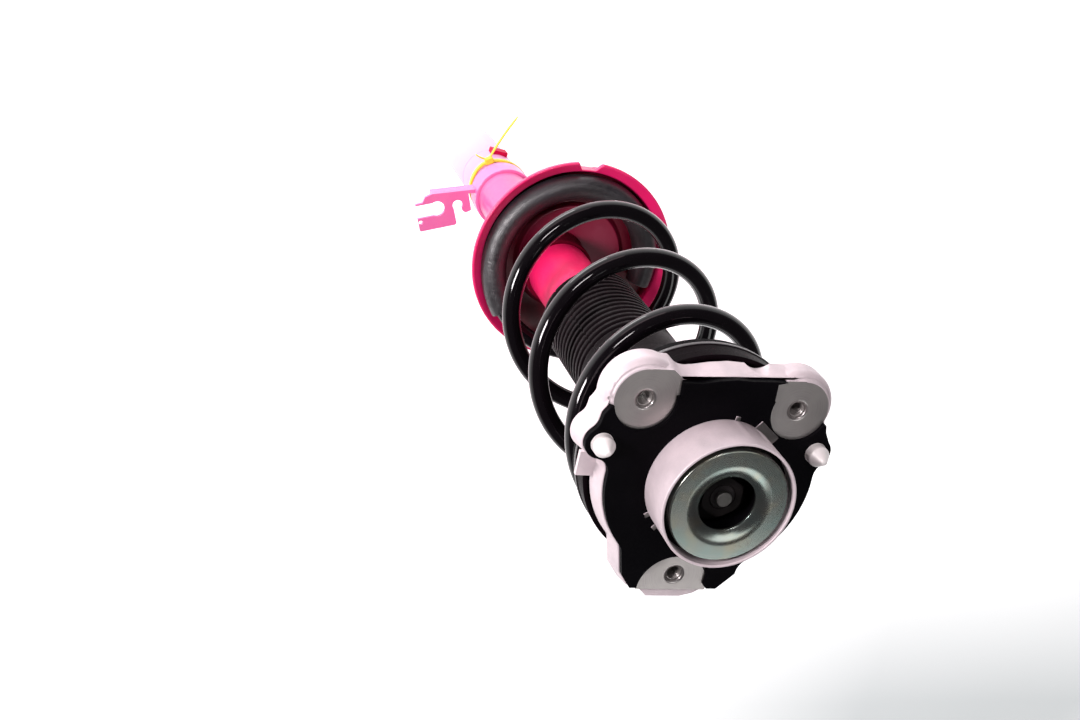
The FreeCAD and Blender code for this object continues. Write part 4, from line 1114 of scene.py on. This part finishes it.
@dataclass
class LowerPan:
    """The lower spring pan: a dish about its own axis, and a neck about the damper's."""

    centre: Place = PAN_CENTRE
    rim: float = 73.95
    lip: float = 66.5
    slope: float = 4.2 / 7.5
    notch_angle: float = -88.8
    notch_reach: float = 0.16
    notch_width: float = 14.0
    notch_depth: float = 6.0
    notch_lead: float = 2.0
    notch_blend: float = 4.5
    parting: float = 30.0
    floor: float = 256.5
    dish_reach: float = 66.6
    neck_reach: float = 25.5
    dish: Profile = (
        (67.5, 255.0, 3.0), (69.5, 265.0, 1.5), (73.95, 268.2, 1.2), (73.95, 272.2, 1.4), (66.5, 268.0, 2.5),
        (64.5, 258.0, 2.0), (41.0, 258.0, 1.2), (38.0, 261.0, 1.2),
    )
    neck: Profile = ((24.5, 261.0, 0.8), (24.5, 282.0, 1.0), (22.02, 282.0, 0.3), (22.02, 255.0, 0.3))

    def angles(self) -> np.ndarray:
        """Space the columns' angles, closer together at the notch.

        Returns:
            The angles, in radians.
        """
        fine = np.radians(self.notch_angle) + np.linspace(-self.notch_reach, self.notch_reach, 81)
        rest = np.linspace(fine[-1], fine[0] + 2.0 * math.pi, 260)[1:-1]
        return np.concatenate([fine, rest])

    def build(self, bench: Bench) -> None:
        """Make the pan.

        The rows of both profiles lie on their own centres. At the notch a point past the lip is drawn in by
        the notch's depth times its share of the rim, and falls by that times the rim's slope.

        Args:
            bench: The bench that dresses and places the pieces.
        """
        line = rounded(self.dish + self.neck, 6)
        angles = self.angles()
        lean = np.where((line[:, 0] > self.parting)[:, None], np.array(self.centre), 0.0)
        arc = np.abs(np.angle(np.exp(1j * (angles - math.radians(self.notch_angle))))) * self.rim
        past = (arc - self.notch_width / 2.0 + self.notch_lead) / self.notch_blend
        drawn = self.notch_depth * (1.0 - smooth(past))
        radius = np.repeat(line[:, :1], len(angles), axis=1)
        beyond = np.clip((radius - self.lip) / (self.rim - self.lip), 0.0, 1.0)
        back = beyond * drawn[None]
        shape = lathe(radius - back, line[:, 1:] - back * self.slope, angles, lean)
        piece = to_object("spring_pan", shape)
        # Painted shade: the dish's paint darkens towards its floor, and the neck's paint is near black.
        dish = replace(FINISHES[Slot.PAN], painted_light_and_shade=((260.0, 267.5, (0.1, 0.0, 0.01)),)).material("dish_painted_shade")
        neck = GlossPaint((0.14, 0.001, 0.015), (0.1, 0.001, 0.01), (0.3, 0.1, 0.15), 0.02, 0.5, 0.0,
                          shine=0.05)
        tones(piece, (bench.finish(Slot.PAN), dish, neck.material("neck_painted_shade")), self.inside)
        bench.fit(piece, Body.STRUT, Slot.PAN, "spring_pan")

    def inside(self, place: np.ndarray) -> np.ndarray:
        """Choose the paint of each face: the dish's and the neck's paints carry painted shade.

        Args:
            place: The faces' middles, three numbers a row.

        Returns:
            0 for the pan's outside and rim, 1 in the dish and 2 on the neck.
        """
        above = place[:, 2] > self.floor
        dish = np.hypot(place[:, 0] - self.centre[0], place[:, 1] - self.centre[1]) < self.dish_reach
        neck = np.hypot(place[:, 0], place[:, 1]) < self.neck_reach
        return np.select([above & neck, above & dish], [2, 1], 0)


@dataclass
class Tube:
    """The strut tube with its end cap, top cap, bracket collar and lug."""

    wall: Profile = (
        (19.5, 3.0, 0.0), (22.0, 3.0, 0.3), (22.0, 64.0, 0.3), (21.6, 64.3, 0.2), (21.6, 65.7, 0.2),
        (22.0, 66.0, 0.3), (22.0, 372.0, 0.3), (19.5, 372.0, 0.3),
    )
    end_cap: Profile = (
        (AXIS, 0.0, 0.0), (22.0, 0.0, 1.4), (22.0, 3.0, 0.0), (19.5, 3.0, 0.0), (19.5, 12.0, 0.5),
        (AXIS, 12.0, 0.0),
    )
    top_cap: Profile = (
        (13.0, 372.0, 0.0), (22.0, 372.0, 0.0), (22.0, 362.0, 0.0), (23.5, 362.0, 0.5), (23.5, 376.0, 1.6),
        (13.0, 376.0, 0.5),
    )
    collar: Profile = ((22.02, 105.0, 0.3), (24.5, 105.0, 0.8), (24.5, 124.0, 0.8), (22.02, 124.0, 0.3))
    lug_ease: float = 0.5
    bracket_ease: float = 0.22

    def build(self, bench: Bench) -> None:
        """Make the turned pieces and copy the lug.

        Args:
            bench: The bench that dresses and places the pieces.
        """
        bench.turn("strut_tube", "strut_tube", Body.STRUT, Slot.TUBE, self.wall)
        bench.turn("end_cap", "tube_end_cap", Body.STRUT, Slot.TUBE, self.end_cap, capped=True)
        bench.turn("top_cap", "tube_top_cap", Body.STRUT, Slot.DARK_STEEL, self.top_cap)
        bench.turn("bracket_collar", "bracket_collar", Body.STRUT, Slot.BRACKET, self.collar)
        for node, slot, width, segments in (("locating_lug", Slot.LUG, self.lug_ease, 3),
                                            ("hose_bracket", Slot.BRACKET, self.bracket_ease, 2)):
            piece = eased_copy(node, f"{node}_eased", [Ease(lambda first, last: True, width, segments)])
            bench.fit(piece, Body.STRUT, slot, node)


@dataclass
class CableTie:
    """The cable tie: a toothed band round the tube, a head and a tail."""

    low: float = 94.0
    width: float = 4.0
    inner: float = 22.05
    outer: float = 23.8
    head_angle: float = -63.0
    tail_angle: float = -115.0
    tail_length: float = 42.0
    stub_angle: float = -14.0
    stub_length: float = 12.0
    margin: float = 0.9
    tooth: float = 0.12
    teeth_half: float = 1.2
    bulges: tuple[Point, ...] = ((2.3, 3.35, 0.6), (1.2, 5.4, 0.5))
    head_size: Point = (5.2, 7.0, 6.0)
    head_ease: float = 0.9
    strip_half: float = 1.5
    strip_thick: float = 0.55
    strip_bow: float = 0.9

    def band(self) -> Shape:
        """Make the band, a ring with teeth on its outer face.

        A bulge stands off the tube by its size times e to minus the squared distance from its angle, over its
        reach. A tooth takes off every other pair of columns between the margins.

        Returns:
            The closed band.
        """
        low, high, outer = self.low, self.low + self.width, self.outer
        line = rounded([(self.inner, low, 0.2), (outer, low, 0.4), (outer, low + self.margin, 0.0),
                        (outer, high - self.margin, 0.0), (outer, high, 0.4), (self.inner, high, 0.2)], 3)
        angles = around(480)
        teeth = self.tooth * (np.arange(len(angles)) % 4 < 2)
        off_middle = np.abs(line[:, 1] - low - self.width / 2.0)
        middle = (line[:, 0] > outer - LEVEL_FIT / 2.0) & (off_middle < self.teeth_half)
        slack = sum(size * np.exp(-(((angles - centre) / reach) ** 2)) for size, centre, reach in self.bulges)
        return lathe(line[:, :1] - middle[:, None] * teeth[None] + slack[None], line[:, 1], angles)

    def head(self) -> Shape:
        """Make the head, a block with rounded edges at its angle on the band.

        Returns:
            The block.
        """
        block = bmesh.new()
        bmesh.ops.create_cube(block, size=1.0)
        bmesh.ops.scale(block, vec=self.head_size, verts=block.verts)
        bmesh.ops.bevel(block, geom=block.edges, offset=self.head_ease, segments=3, profile=0.5,
                        affect="EDGES")
        out = Matrix.Translation((self.inner + self.head_size[0] / 2.0, 0.0, self.low + self.width / 2.0))
        block.transform(Matrix.Rotation(math.radians(self.head_angle), 4, "Z") @ out)
        points = np.array([point.co for point in block.verts])
        faces = [[point.index for point in face.verts] for face in block.faces]
        block.free()
        return Shape(points, faces)

    def strip(self, angle: float, length: float) -> Shape:
        """Make a flat strip that starts at the head.

        Its middle line bows by half a sine wave, and its half width and thickness ease down at its end.

        Args:
            angle: The strip's direction, in degrees.
            length: Its length.

        Returns:
            The closed strip.
        """
        share = np.linspace(0.0, 1.0, 40)
        head, turn = math.radians(self.head_angle), math.radians(angle)
        start = (self.outer + 2.0) * np.array([math.cos(head), math.sin(head)])
        way = np.array([math.cos(turn), math.sin(turn)])
        side = np.array([-way[1], way[0]])
        bow = self.strip_bow * np.sin(math.pi * share)
        middle = start + share[:, None] * length * way + bow[:, None] * side
        half = self.strip_half * (1.0 - 0.45 * smooth((share - 0.8) / 0.2))
        thick = self.strip_thick * (1.0 - 0.5 * smooth((share - 0.9) / 0.1))
        ring = rounded([(-1.0, -1.0, 0.3), (1.0, -1.0, 0.3), (1.0, 1.0, 0.3), (-1.0, 1.0, 0.3)], 2)
        across = ring[:, 0][None] * thick[:, None]
        grid = np.stack([middle[:, :1] + across * side[0], middle[:, 1:] + across * side[1],
                         self.low + self.width / 2.0 + ring[:, 1][None] * half[:, None]], axis=-1)
        return swept(grid, capped=True)

    def build(self, bench: Bench) -> None:
        """Make the tie.

        Args:
            bench: The bench that dresses and places the pieces.
        """
        shape = reduce(Shape.joined, (self.band(), self.head(), self.strip(self.tail_angle, self.tail_length),
                                      self.strip(self.stub_angle, self.stub_length)))
        bench.fit(to_object("tie", shape), Body.STRUT, Slot.TIE, "cable_tie")


@dataclass
class DustBoot:
    """The ribbed dust boot between the tube and the upper seat."""

    low: float = 357.5
    top: float = 537.0
    bore: float = 28.6
    cuff: float = 22.3
    peak: float = 33.0
    valley: float = 30.2
    collar: float = 32.5
    upper: float = 31.4
    pitch: float = 5.7
    ribs: int = 15
    seam: float = -28.8
    seam_depth: float = 0.6
    seam_reach: float = 0.5

    def corners(self) -> list[Corner]:
        """Return the boot's profile, up its ribs and down its bore.

        A rib's corners stand at shares of the pitch, and the corners above the ribs at pitches over them.
        """
        peak, valley = self.peak, self.valley
        rib = ((peak, 0.42, 0.7), (valley, 0.58, 0.4), (valley, 0.78, 0.4), (peak, 0.94, 0.7))
        line = [(self.cuff, self.low, 0.4), (peak, self.low, 0.9)]
        line += [(radius, self.low + index * self.pitch + share * self.pitch, ease)
                 for index in range(self.ribs) for radius, share, ease in rib]
        above, wall = self.low + self.ribs * self.pitch, self.low + 4.0
        return line + [
            (self.collar, above + 0.5 * self.pitch, 1.0), (self.upper, above + 4.5 * self.pitch, 8.0),
            (self.upper, self.top, 0.3), (self.bore, self.top, 0.3), (self.bore, wall, 0.5),
            (self.cuff, wall, 0.4)]

    def build(self, bench: Bench) -> None:
        """Make the boot with its moulding seams.

        A seam takes off its depth times e to minus the squared distance from it, over its reach.

        Args:
            bench: The bench that dresses and places the pieces.
        """
        line = rounded(self.corners(), 4)
        seams = np.radians([self.seam, self.seam + 180.0])
        fine = np.concatenate([seam + np.linspace(-0.03, 0.03, 13) for seam in seams])
        angles = np.sort(np.concatenate([around(132) + 0.01, np.mod(fine, 2.0 * math.pi)]))
        near = np.min([np.abs(np.angle(np.exp(1j * (angles - seam)))) for seam in seams], axis=0)
        groove = self.seam_depth * np.exp(-((near * self.peak / self.seam_reach) ** 2))
        outside = (line[:, 0] > self.bore + 0.8)[:, None]
        shape = lathe(line[:, :1] - outside * groove[None], line[:, 1], angles)
        piece = to_object("dust_boot_ribbed", shape, 60.0, evened=False)
        bench.dress(piece, Slot.BOOT, "dust_boot")
        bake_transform(piece)


@dataclass
class UpperSeat:
    """The upper spring plate and its rubber pad, over the steering bearing."""

    radius: float = 65.2
    lip_top: float = 540.6
    lip_depth: float = 2.0
    plate: Profile = (
        (28.0, 537.0, 0.4), (65.2, 537.0, 1.4), (65.2, 540.2, 1.2), (64.6, 540.8, 0.3), (64.6, 547.0, 0.3),
        (65.0, 547.5, 0.3), (65.0, 554.5, 0.8), (62.2, 554.5, 0.6), (62.2, 540.0, 1.2), (28.0, 540.0, 0.4),
    )
    pad: Profile = ((48.5, 531.0, 1.4), (64.2, 531.0, 1.8), (64.2, 537.0, 0.6), (48.5, 537.0, 0.6))

    def lip(self, place: np.ndarray) -> np.ndarray:
        """Return 1 for the faces of the plate's lip and 0 for the others."""
        away = np.hypot(place[:, 0], place[:, 1])
        return (place[:, 2] < self.lip_top) & (away > self.radius - self.lip_depth)

    def build(self, bench: Bench) -> None:
        """Make the plate with a rounded lip at its foot and fine steps in its wall, and the pad.

        Args:
            bench: The bench that dresses and places the pieces.
        """
        piece = to_object("upper_plate", turned(self.plate, 180))
        # The lip's rubber is paler and shinier than the plate's: its shine is real, and its paler colour is a
        # painted highlight along the lip.
        lip_highlight = Rubber((0.02, 0.017, 0.019), (0.03, 0.025, 0.028), 0.3, 0.04, 1200.0, 0.02, 0.7)
        tones(piece, (bench.finish(Slot.PLATE), lip_highlight.material("plate_lip_highlight")), self.lip)
        bench.fit(piece, Body.SEAT, Slot.PLATE, "upper_spring_plate")
        bench.turn("upper_pad", "upper_spring_pad", Body.SEAT, Slot.RUBBER, self.pad, steps=180)


@dataclass
class TopMount:
    """The cast top mount with its face seal, locating pins and threaded holes."""

    holes: tuple[Place, ...] = ((48.07, -45.42), (-39.44, -43.82), (5.85, 59.6))
    pins: tuple[Place, ...] = ((66.6, -20.0), (-56.4, -20.0))
    cup_top: float = 600.0
    cup_reach: float = 50.0
    back_pad: float = 574.9
    seal_top: float = 574.5
    seat: float = 572.5
    face: float = 570.5
    shoulder: float = 567.5
    foot: float = 556.5
    mouth: float = 6.0
    milled_fit: float = 0.05
    thread_pitch: float = 1.5
    thread_crest: float = 3.75
    thread_depth: float = 0.5
    thread_wall: float = 4.3
    thread_foot: float = 0.6
    thread_lead: float = 1.5
    seal_ease: float = 0.5
    pin: Profile = (
        (AXIS, 562.5, 0.0), (4.0, 562.5, 0.3), (4.0, 570.5, 0.0), (6.1, 570.5, 0.2), (6.1, 574.5, 0.2),
        (5.9, 574.5, 0.0), (5.9, 579.0, 1.4), (1.5, 585.4, 0.9), (AXIS, 585.9, 0.0),
    )

    def at_hole(self, first: np.ndarray, last: np.ndarray) -> bool:
        """Say whether an edge is the mouth of a bolt hole."""
        near = min(math.hypot(first[0] - x, first[1] - y) for x, y in self.holes)
        return near < self.mouth and min(first[2], last[2]) > self.seat - LEVEL_FIT

    def milled(self, place: np.ndarray) -> np.ndarray:
        """Choose the finish of each face: those at a pad's height or in a hole are cut.

        Args:
            place: The faces' middles, three numbers a row.

        Returns:
            0 for the cast skin, and the nearest hole's number for a face that is cut.
        """
        reach = np.stack([np.hypot(*(place[:, :2] - np.array(hole)).T) for hole in self.holes])
        height = place[:, 2]
        cut = np.abs(height - self.seat) < self.milled_fit
        cut |= np.abs(height - self.back_pad) < self.milled_fit
        cut |= (reach.min(axis=0) < self.mouth) & (height < self.seat)
        return np.where(cut, reach.argmin(axis=0) + 1, 0)

    def casting(self, bench: Bench) -> None:
        """Copy the casting, round its edges and give each machined pad its own finish.

        Args:
            bench: The bench that dresses and places the pieces.
        """
        rules = [Ease(level(height, self.cup_reach), width, segments) for height, width, segments in (
            (self.face, 0.7, 3), (self.shoulder, 1.6, 5), (self.foot, 0.8, 2))]
        rules += [Ease(level(self.cup_top), 0.6), Ease(self.at_hole, 0.7, 2)]
        piece = eased_copy("mount_casting", "top_casting", rules)
        pads = (Machined(hole).material(f"machined_pad_{index + 1}") for index, hole in enumerate(self.holes))
        tones(piece, (bench.finish(Slot.CAST), *pads), self.milled)
        bench.fit(piece, Body.MOUNT, Slot.CAST, "mount_casting")

    def threads(self, bench: Bench) -> None:
        """Make the threads in the holes.

        The wall's radius is the crest's plus the depth times a wave, which rises and falls evenly with the
        height in pitches less the turn.

        Args:
            bench: The bench that dresses and places the pieces.
        """
        rows = np.linspace(self.foot + self.thread_foot, self.seat - self.thread_lead, 100)
        angles = around(40)
        turn = rows[:, None] / self.thread_pitch - angles[None] / (2.0 * math.pi)
        wave = np.abs(np.mod(turn, 1.0) - 0.5) * 2.0
        radius = np.concatenate([self.thread_crest + self.thread_depth * wave,
                                 np.full((2, len(angles)), self.thread_wall)])
        one = lathe(radius, np.append(rows, rows[[-1, 0]]), angles)
        piece = to_object("bolt_threads", repeated(one, self.holes), 60.0, evened=False)
        cut = Machined(self.holes[0], (0.3, 0.28, 0.27), (0.2, 0.19, 0.18), 0.5)
        bench.fit(piece, Body.MOUNT, Slot.CAST, own=cut.material("cut_thread"))

    def build(self, bench: Bench) -> None:
        """Make the casting, its threads, the seal and the pins.

        Args:
            bench: The bench that dresses and places the pieces.
        """
        self.casting(bench)
        self.threads(bench)
        seal = eased_plate("face_seal", "face_gasket", self.face, self.seal_top, self.seal_ease)
        bench.fit(seal, Body.MOUNT, Slot.RUBBER, "face_seal")
        piece = to_object("coned_pins", repeated(turned(self.pin, 64, capped=True), self.pins))
        zinc = Steel((0.9, 0.85, 0.84), (0.82, 0.78, 0.77), 0.45, metal=0.35)
        bench.fit(piece, Body.MOUNT, Slot.STEEL, "locating_pins", own=zinc.material("pin_zinc"))


@dataclass
class Bush:
    """The rubber bush in the cup, with its washer, nut and cover disc."""

    bore: float = 7.05
    nut_low: float = 583.0
    top: float = 590.0
    flat: float = 11.0
    cone: float = 11.4
    cone_slope: float = 0.58
    nut_lead: float = 0.6
    disc_top: float = 599.5
    disc_back: float = 597.9
    dip: float = 2.5
    dip_from: float = 24.0
    dip_to: float = 16.2
    rim: Profile = (
        (31.2, 597.9, 0.0), (31.2, 590.0, 0.3), (32.8, 590.0, 0.3), (32.8, 599.5, 0.8), (24.4, 599.5, 0.0),
    )
    hole: Profile = ((16.1, 596.9, 0.0), (15.8, 596.7, 0.2), (15.8, 595.4, 0.3), (16.1, 595.4, 0.0))
    rubber: Profile = (
        (14.05, 563.0, 0.3), (18.0, 562.05, 0.8), (35.55, 562.05, 0.8), (35.55, 590.0, 0.6),
        (21.5, 590.0, 2.0), (19.0, 578.0, 1.5), (14.05, 578.0, 0.3),
    )
    washer: Profile = ((7.05, 580.0, 0.2), (18.0, 580.0, 0.5), (18.0, 583.0, 0.6), (7.05, 583.0, 0.2))

    def nut(self) -> Shape:
        """Make the hexagon nut.

        Its radius is the flats' over the cosine of the angle from the nearest flat's middle, and its top
        falls by the cone's slope times the reach past the cone.

        Returns:
            The closed nut.
        """
        angles = around(120)
        flat = self.flat / np.cos(np.mod(angles + math.pi / 6.0, math.pi / 3.0) - math.pi / 6.0)
        shoulder = self.top - np.maximum(flat - self.cone, 0.0) * self.cone_slope
        ones = np.ones(len(angles))
        bore, low, top = self.bore * ones, self.nut_low * ones, self.top * ones
        radius = np.stack([bore, flat, flat, np.minimum(flat, self.cone), 7.6 * ones, bore])
        height = np.stack([low, low, shoulder, top, top, top - self.nut_lead])
        return lathe(radius, height, angles)

    def disc(self) -> Shape:
        """Make the cover disc.

        Its face falls to the hole by the dip times the square of the share of the way in.

        Returns:
            The closed disc.
        """
        radius = np.linspace(self.dip_from, self.dip_to, 17)
        fall = self.dip * ((self.dip_from - radius) / (self.dip_from - self.dip_to)) ** 2
        upper = np.stack([radius, self.disc_top - fall], axis=-1)
        lower = np.stack([radius, self.disc_back - fall], axis=-1)
        line = np.concatenate([rounded(self.rim), upper, rounded(self.hole), lower[::-1]])
        return lathe(line[:, 0], line[:, 1], around(192))

    def build(self, bench: Bench) -> None:
        """Make the bush's rubber, the washer, the nut and the disc.

        Args:
            bench: The bench that dresses and places the pieces.
        """
        bench.turn("bush_body", "bush_rubber", Body.MOUNT, Slot.RUBBER, self.rubber)
        # Painted shade: the washer and the nut are near black, for the dark inside of the cup's hole.
        black = replace(BLACK_IN_SHADE, colour=(0.004, 0.003, 0.003), dusty=0.01, shine=0.04)
        shaded = black.material("nut_and_washer_shade")
        for name, shape, node in (("washer", turned(self.washer), "nut_washer"),
                                  ("hexagon_nut", self.nut(), "rod_nut")):
            bench.fit(to_object(name, shape, 20.0), Body.MOUNT, Slot.STEEL, node, own=shaded)
        bench.fit(to_object("zinc_cover", self.disc()), Body.MOUNT, Slot.ZINC, "cover_disc")


@dataclass
class Rod:
    """The piston rod and the bump stop on it.

    Attributes:
        thread_from: The height where the rod's thread starts.
        end_from: The height where its bare end starts.
        profile: The rod's corners.
        foam: The bump stop's corners.
    """

    thread_from: float = 565.0
    end_from: float = 591.0
    profile: Profile = (
        (AXIS, 296.0, 0.0), (6.0, 296.0, 0.5), (6.0, 324.0, 0.0), (11.0, 324.0, 0.6), (11.0, 563.0, 0.8),
        (7.0, 563.0, 0.0), (7.0, 590.0, 0.6), (4.3, 590.0, 0.0), (4.3, 593.0, 0.5), (AXIS, 593.0, 0.0),
    )
    foam: Profile = (
        (11.5, 486.5, 0.5), (17.0, 486.5, 2.0), (21.0, 495.5, 4.0), (18.0, 504.5, 4.0), (24.0, 516.5, 5.0),
        (21.0, 528.5, 5.0), (25.0, 546.5, 1.5), (25.0, 553.5, 0.5), (11.5, 553.5, 0.5),
    )

    def part(self, place: np.ndarray) -> np.ndarray:
        """Return 0 for the faces of the ground rod, 1 on its thread and 2 on its end."""
        return np.select([place[:, 2] > self.end_from, place[:, 2] > self.thread_from], [2, 1], 0)

    def build(self, bench: Bench) -> None:
        """Make the rod with eased shoulders, and the foam stop with its waists.

        Args:
            bench: The bench that dresses and places the pieces.
        """
        piece = to_object("rod", turned(self.profile, 96, capped=True))
        end = Steel((0.12, 0.115, 0.11), (0.06, 0.058, 0.055), 0.45)
        # The rod's thread is near black: painted shade, for the dark inside of the cup's hole.
        looks = (bench.finish(Slot.ROD), BLACK_IN_SHADE.material("rod_thread"), end.material("rod_end"))
        tones(piece, looks, self.part)
        bench.fit(piece, Body.MOUNT, Slot.ROD, "piston_rod")
        bench.turn("foam_stop", "bump_stop", Body.MOUNT, Slot.FOAM, self.foam, 60.0, steps=96, arcs=7)


@dataclass
class Inside:
    """The solids inside the damper and the bearing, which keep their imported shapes, and the rod seal."""

    seal: Profile = (
        (11.06, 366.0, 0.3), (14.0, 366.5, 0.8), (17.0, 366.0, 0.8), (19.45, 366.0, 0.3), (19.45, 372.0, 0.3),
        (14.5, 371.8, 0.8), (13.0, 370.0, 0.6), (11.06, 371.8, 0.4),
    )

    def build(self, bench: Bench) -> None:
        """Dress each kept solid, and make the rod seal with its lips.

        Args:
            bench: The bench that dresses and places the pieces.
        """
        bench.turn("lipped_seal", "rod_seal", Body.STRUT, Slot.RUBBER, self.seal, steps=96)
        bench.keep(Slot.STEEL, "rod_guide", "inner_cylinder", "base_valve", "bush_core", "bump_stop_cup",
                   "piston", "piston_nut")
        bench.keep(Slot.BEARING, "bearing_lower_race", "bearing_upper_race", "bearing_balls")
        bench.keep(Slot.CAGE, "bearing_cage")
        bench.keep(Slot.RING, "piston_ring", "rebound_stop")


class PaleFloor(Finish):
    """A pale floor with a light of its own: pinkish round the part as painted bounce light, a cool painted
    shadow behind it, and grey far away.
    """

    def fill(self, tree: SurfaceNodes) -> None:
        """Add the floor's nodes.

        Args:
            tree: The nodes of the material.
        """
        tint = tree.colours((0.93, 0.94, 0.945), (0.95, 0.95, 0.95), 0.8)
        parts, away = tree.parts(tree.place), tree.length(tree.place)
        behind, within = tree.spread(parts["Y"], 0.34, 0.62), tree.spread(away, 1.1, 1.6, 1.0, 0.0)
        back = tree.math("MULTIPLY", behind, within)
        # A cool, dim patch of glow behind the part: painted shadow.
        shadow_patch = tree.math("MULTIPLY", back, tree.spread(parts["X"], -0.6, -0.15, 1.0, 0.0))
        dim = tree.spread(away, 1.0, 3.0)
        near = tree.spread(away, 0.25, 0.5, 1.0, 0.0)
        # The glow turns pink round the part: painted bounce light from the pink paint.
        light = tree.mix(shadow_patch, tree.mix(near, (0.98, 0.98, 0.98), (0.98, 0.84, 0.88)), (0.33, 0.37, 0.37))
        tree.feed("Base Color", tint)
        tree.feed("Emission Color", tree.mix(dim, light, (0.82, 0.82, 0.82)))
        tree.plain(Roughness=0.9, Emission_Strength=0.9, Specular_IOR_Level=0.1)


@dataclass(frozen=True)
class SoftBox:
    """A soft studio light.

    Attributes:
        name: Its name.
        place: Where it stands, in metres.
        aim: The point it faces.
        size: Its width and height.
        power: Its power, in watts.
        colour: Its light.
    """

    name: str
    place: Point
    aim: Point
    size: Place
    power: float
    colour: Colour = (1.0, 1.0, 1.0)

    def build(self) -> None:
        """Add the light to the scene."""
        lamp = bpy.data.lights.new(self.name, "AREA")
        lamp.shape = "RECTANGLE"
        lamp.size, lamp.size_y = self.size
        lamp.energy = self.power
        lamp.color = self.colour
        stand = bpy.data.objects.new(self.name, lamp)
        stand.location = self.place
        stand.rotation_euler = (Vector(self.aim) - Vector(self.place)).to_track_quat("-Z", "Y").to_euler()
        bpy.context.scene.collection.objects.link(stand)


@dataclass
class Studio:
    """The camera, the pale floor and the soft light. The camera's place is in metres."""

    place: Point = (0.3268, -0.332, 1.16206)
    right: Point = (-0.94553, -0.19109, 0.2634)
    up: Point = (0.06134, -0.89957, -0.4324)
    back: Point = (0.31955, -0.39273, 0.8623)
    lens: float = 46.67
    sensor: float = 36.0
    floor_reach: float = 12000.0
    floor_height: float = -0.3
    boxes: tuple[SoftBox, ...] = (
        SoftBox("front", (0.2, -1.25, 0.5), (0.0, 0.0, 0.45), (0.9, 0.3), 1.0, (1.0, 0.72, 0.78)),
        SoftBox("window", (0.2, -1.0, 1.5), (0.0, 0.0, 0.45), (0.4, 0.14), 5.0, (1.0, 0.93, 0.95)),
        SoftBox("tube_light", (0.2, -0.4, 0.02), (0.0, 0.0, 0.08), (0.3, 0.2), 1.4),
        SoftBox("key", (1.15, -0.34, 1.1), (0.0, 0.0, 0.4), (0.35, 0.35), 20.0, (1.0, 0.94, 0.96)),
        SoftBox("above", (-0.35, -0.08, 1.5), (-0.35, -0.08, 0.57), (0.5, 0.46), 2.0),
        SoftBox("back", (-0.5, 0.95, 1.5), (0.0, 0.0, 0.57), (0.6, 0.5), 2.5),
    )

    def camera(self) -> None:
        """Add the camera at the photograph's place and angle."""
        data = bpy.data.cameras.new("camera")
        data.sensor_fit, data.sensor_width, data.lens = "HORIZONTAL", self.sensor, self.lens
        data.clip_start, data.clip_end = 0.02, 50.0
        camera = bpy.data.objects.new("camera", data)
        axes = Matrix((self.right, self.up, self.back)).transposed()
        camera.matrix_world = Matrix.Translation(self.place) @ axes.to_4x4()
        bpy.context.scene.collection.objects.link(camera)
        bpy.context.scene.camera = camera

    def floor(self) -> None:
        """Add a plain pale floor just under the tube's end."""
        turns = around(96)
        across, along = self.floor_reach * np.cos(turns), self.floor_reach * np.sin(turns)
        corners = np.stack([across, along, np.full(len(turns), self.floor_height)], axis=-1)
        floor = to_object("floor", Shape(corners, [list(range(len(turns)))]), evened=False)
        floor.data.materials.append(PaleFloor().material("pale_floor"))

    def world(self) -> None:
        """Light the room from a pale band above the floor's edge, dark overhead, with a pale backdrop."""
        world = bpy.data.worlds.new("room")
        world.use_nodes = True
        bpy.context.scene.world = world
        nodes = Nodes(world.node_tree)
        ground = next(node for node in world.node_tree.nodes if node.type == "BACKGROUND")
        seen = nodes.add("ShaderNodeLightPath").outputs["Is Camera Ray"]
        way = nodes.add("ShaderNodeTexCoord").outputs["Generated"]
        parts = nodes.parts(way)
        side = nodes.mix(nodes.spread(parts["X"], -0.6, 0.6), (0.25, 0.24, 0.25), (1.2, 1.1, 1.14))
        room = nodes.mix(nodes.spread(parts["Z"], 0.0, 0.16), side, (0.06, 0.055, 0.06))
        nodes.tree.links.new(nodes.mix(seen, room, (0.93, 0.93, 0.93)), ground.inputs["Color"])

    def build(self) -> None:
        """Set up the whole studio."""
        self.camera()
        self.floor()
        self.world()
        for box in self.boxes:
            box.build()
        bpy.context.scene.view_settings.view_transform = "Standard"


def main() -> None:
    """Build the studio and every sub-assembly in order."""
    logging.basicConfig(level=logging.INFO, format="%(name)s: %(message)s")
    Studio().build()
    bench = Bench(frame["nodes"])
    for assembly in (Tube, CableTie, LowerPan, Spring, DustBoot, UpperSeat, TopMount, Bush, Rod, Inside):
        assembly().build(bench)


if __name__ == "__main__":
    main()
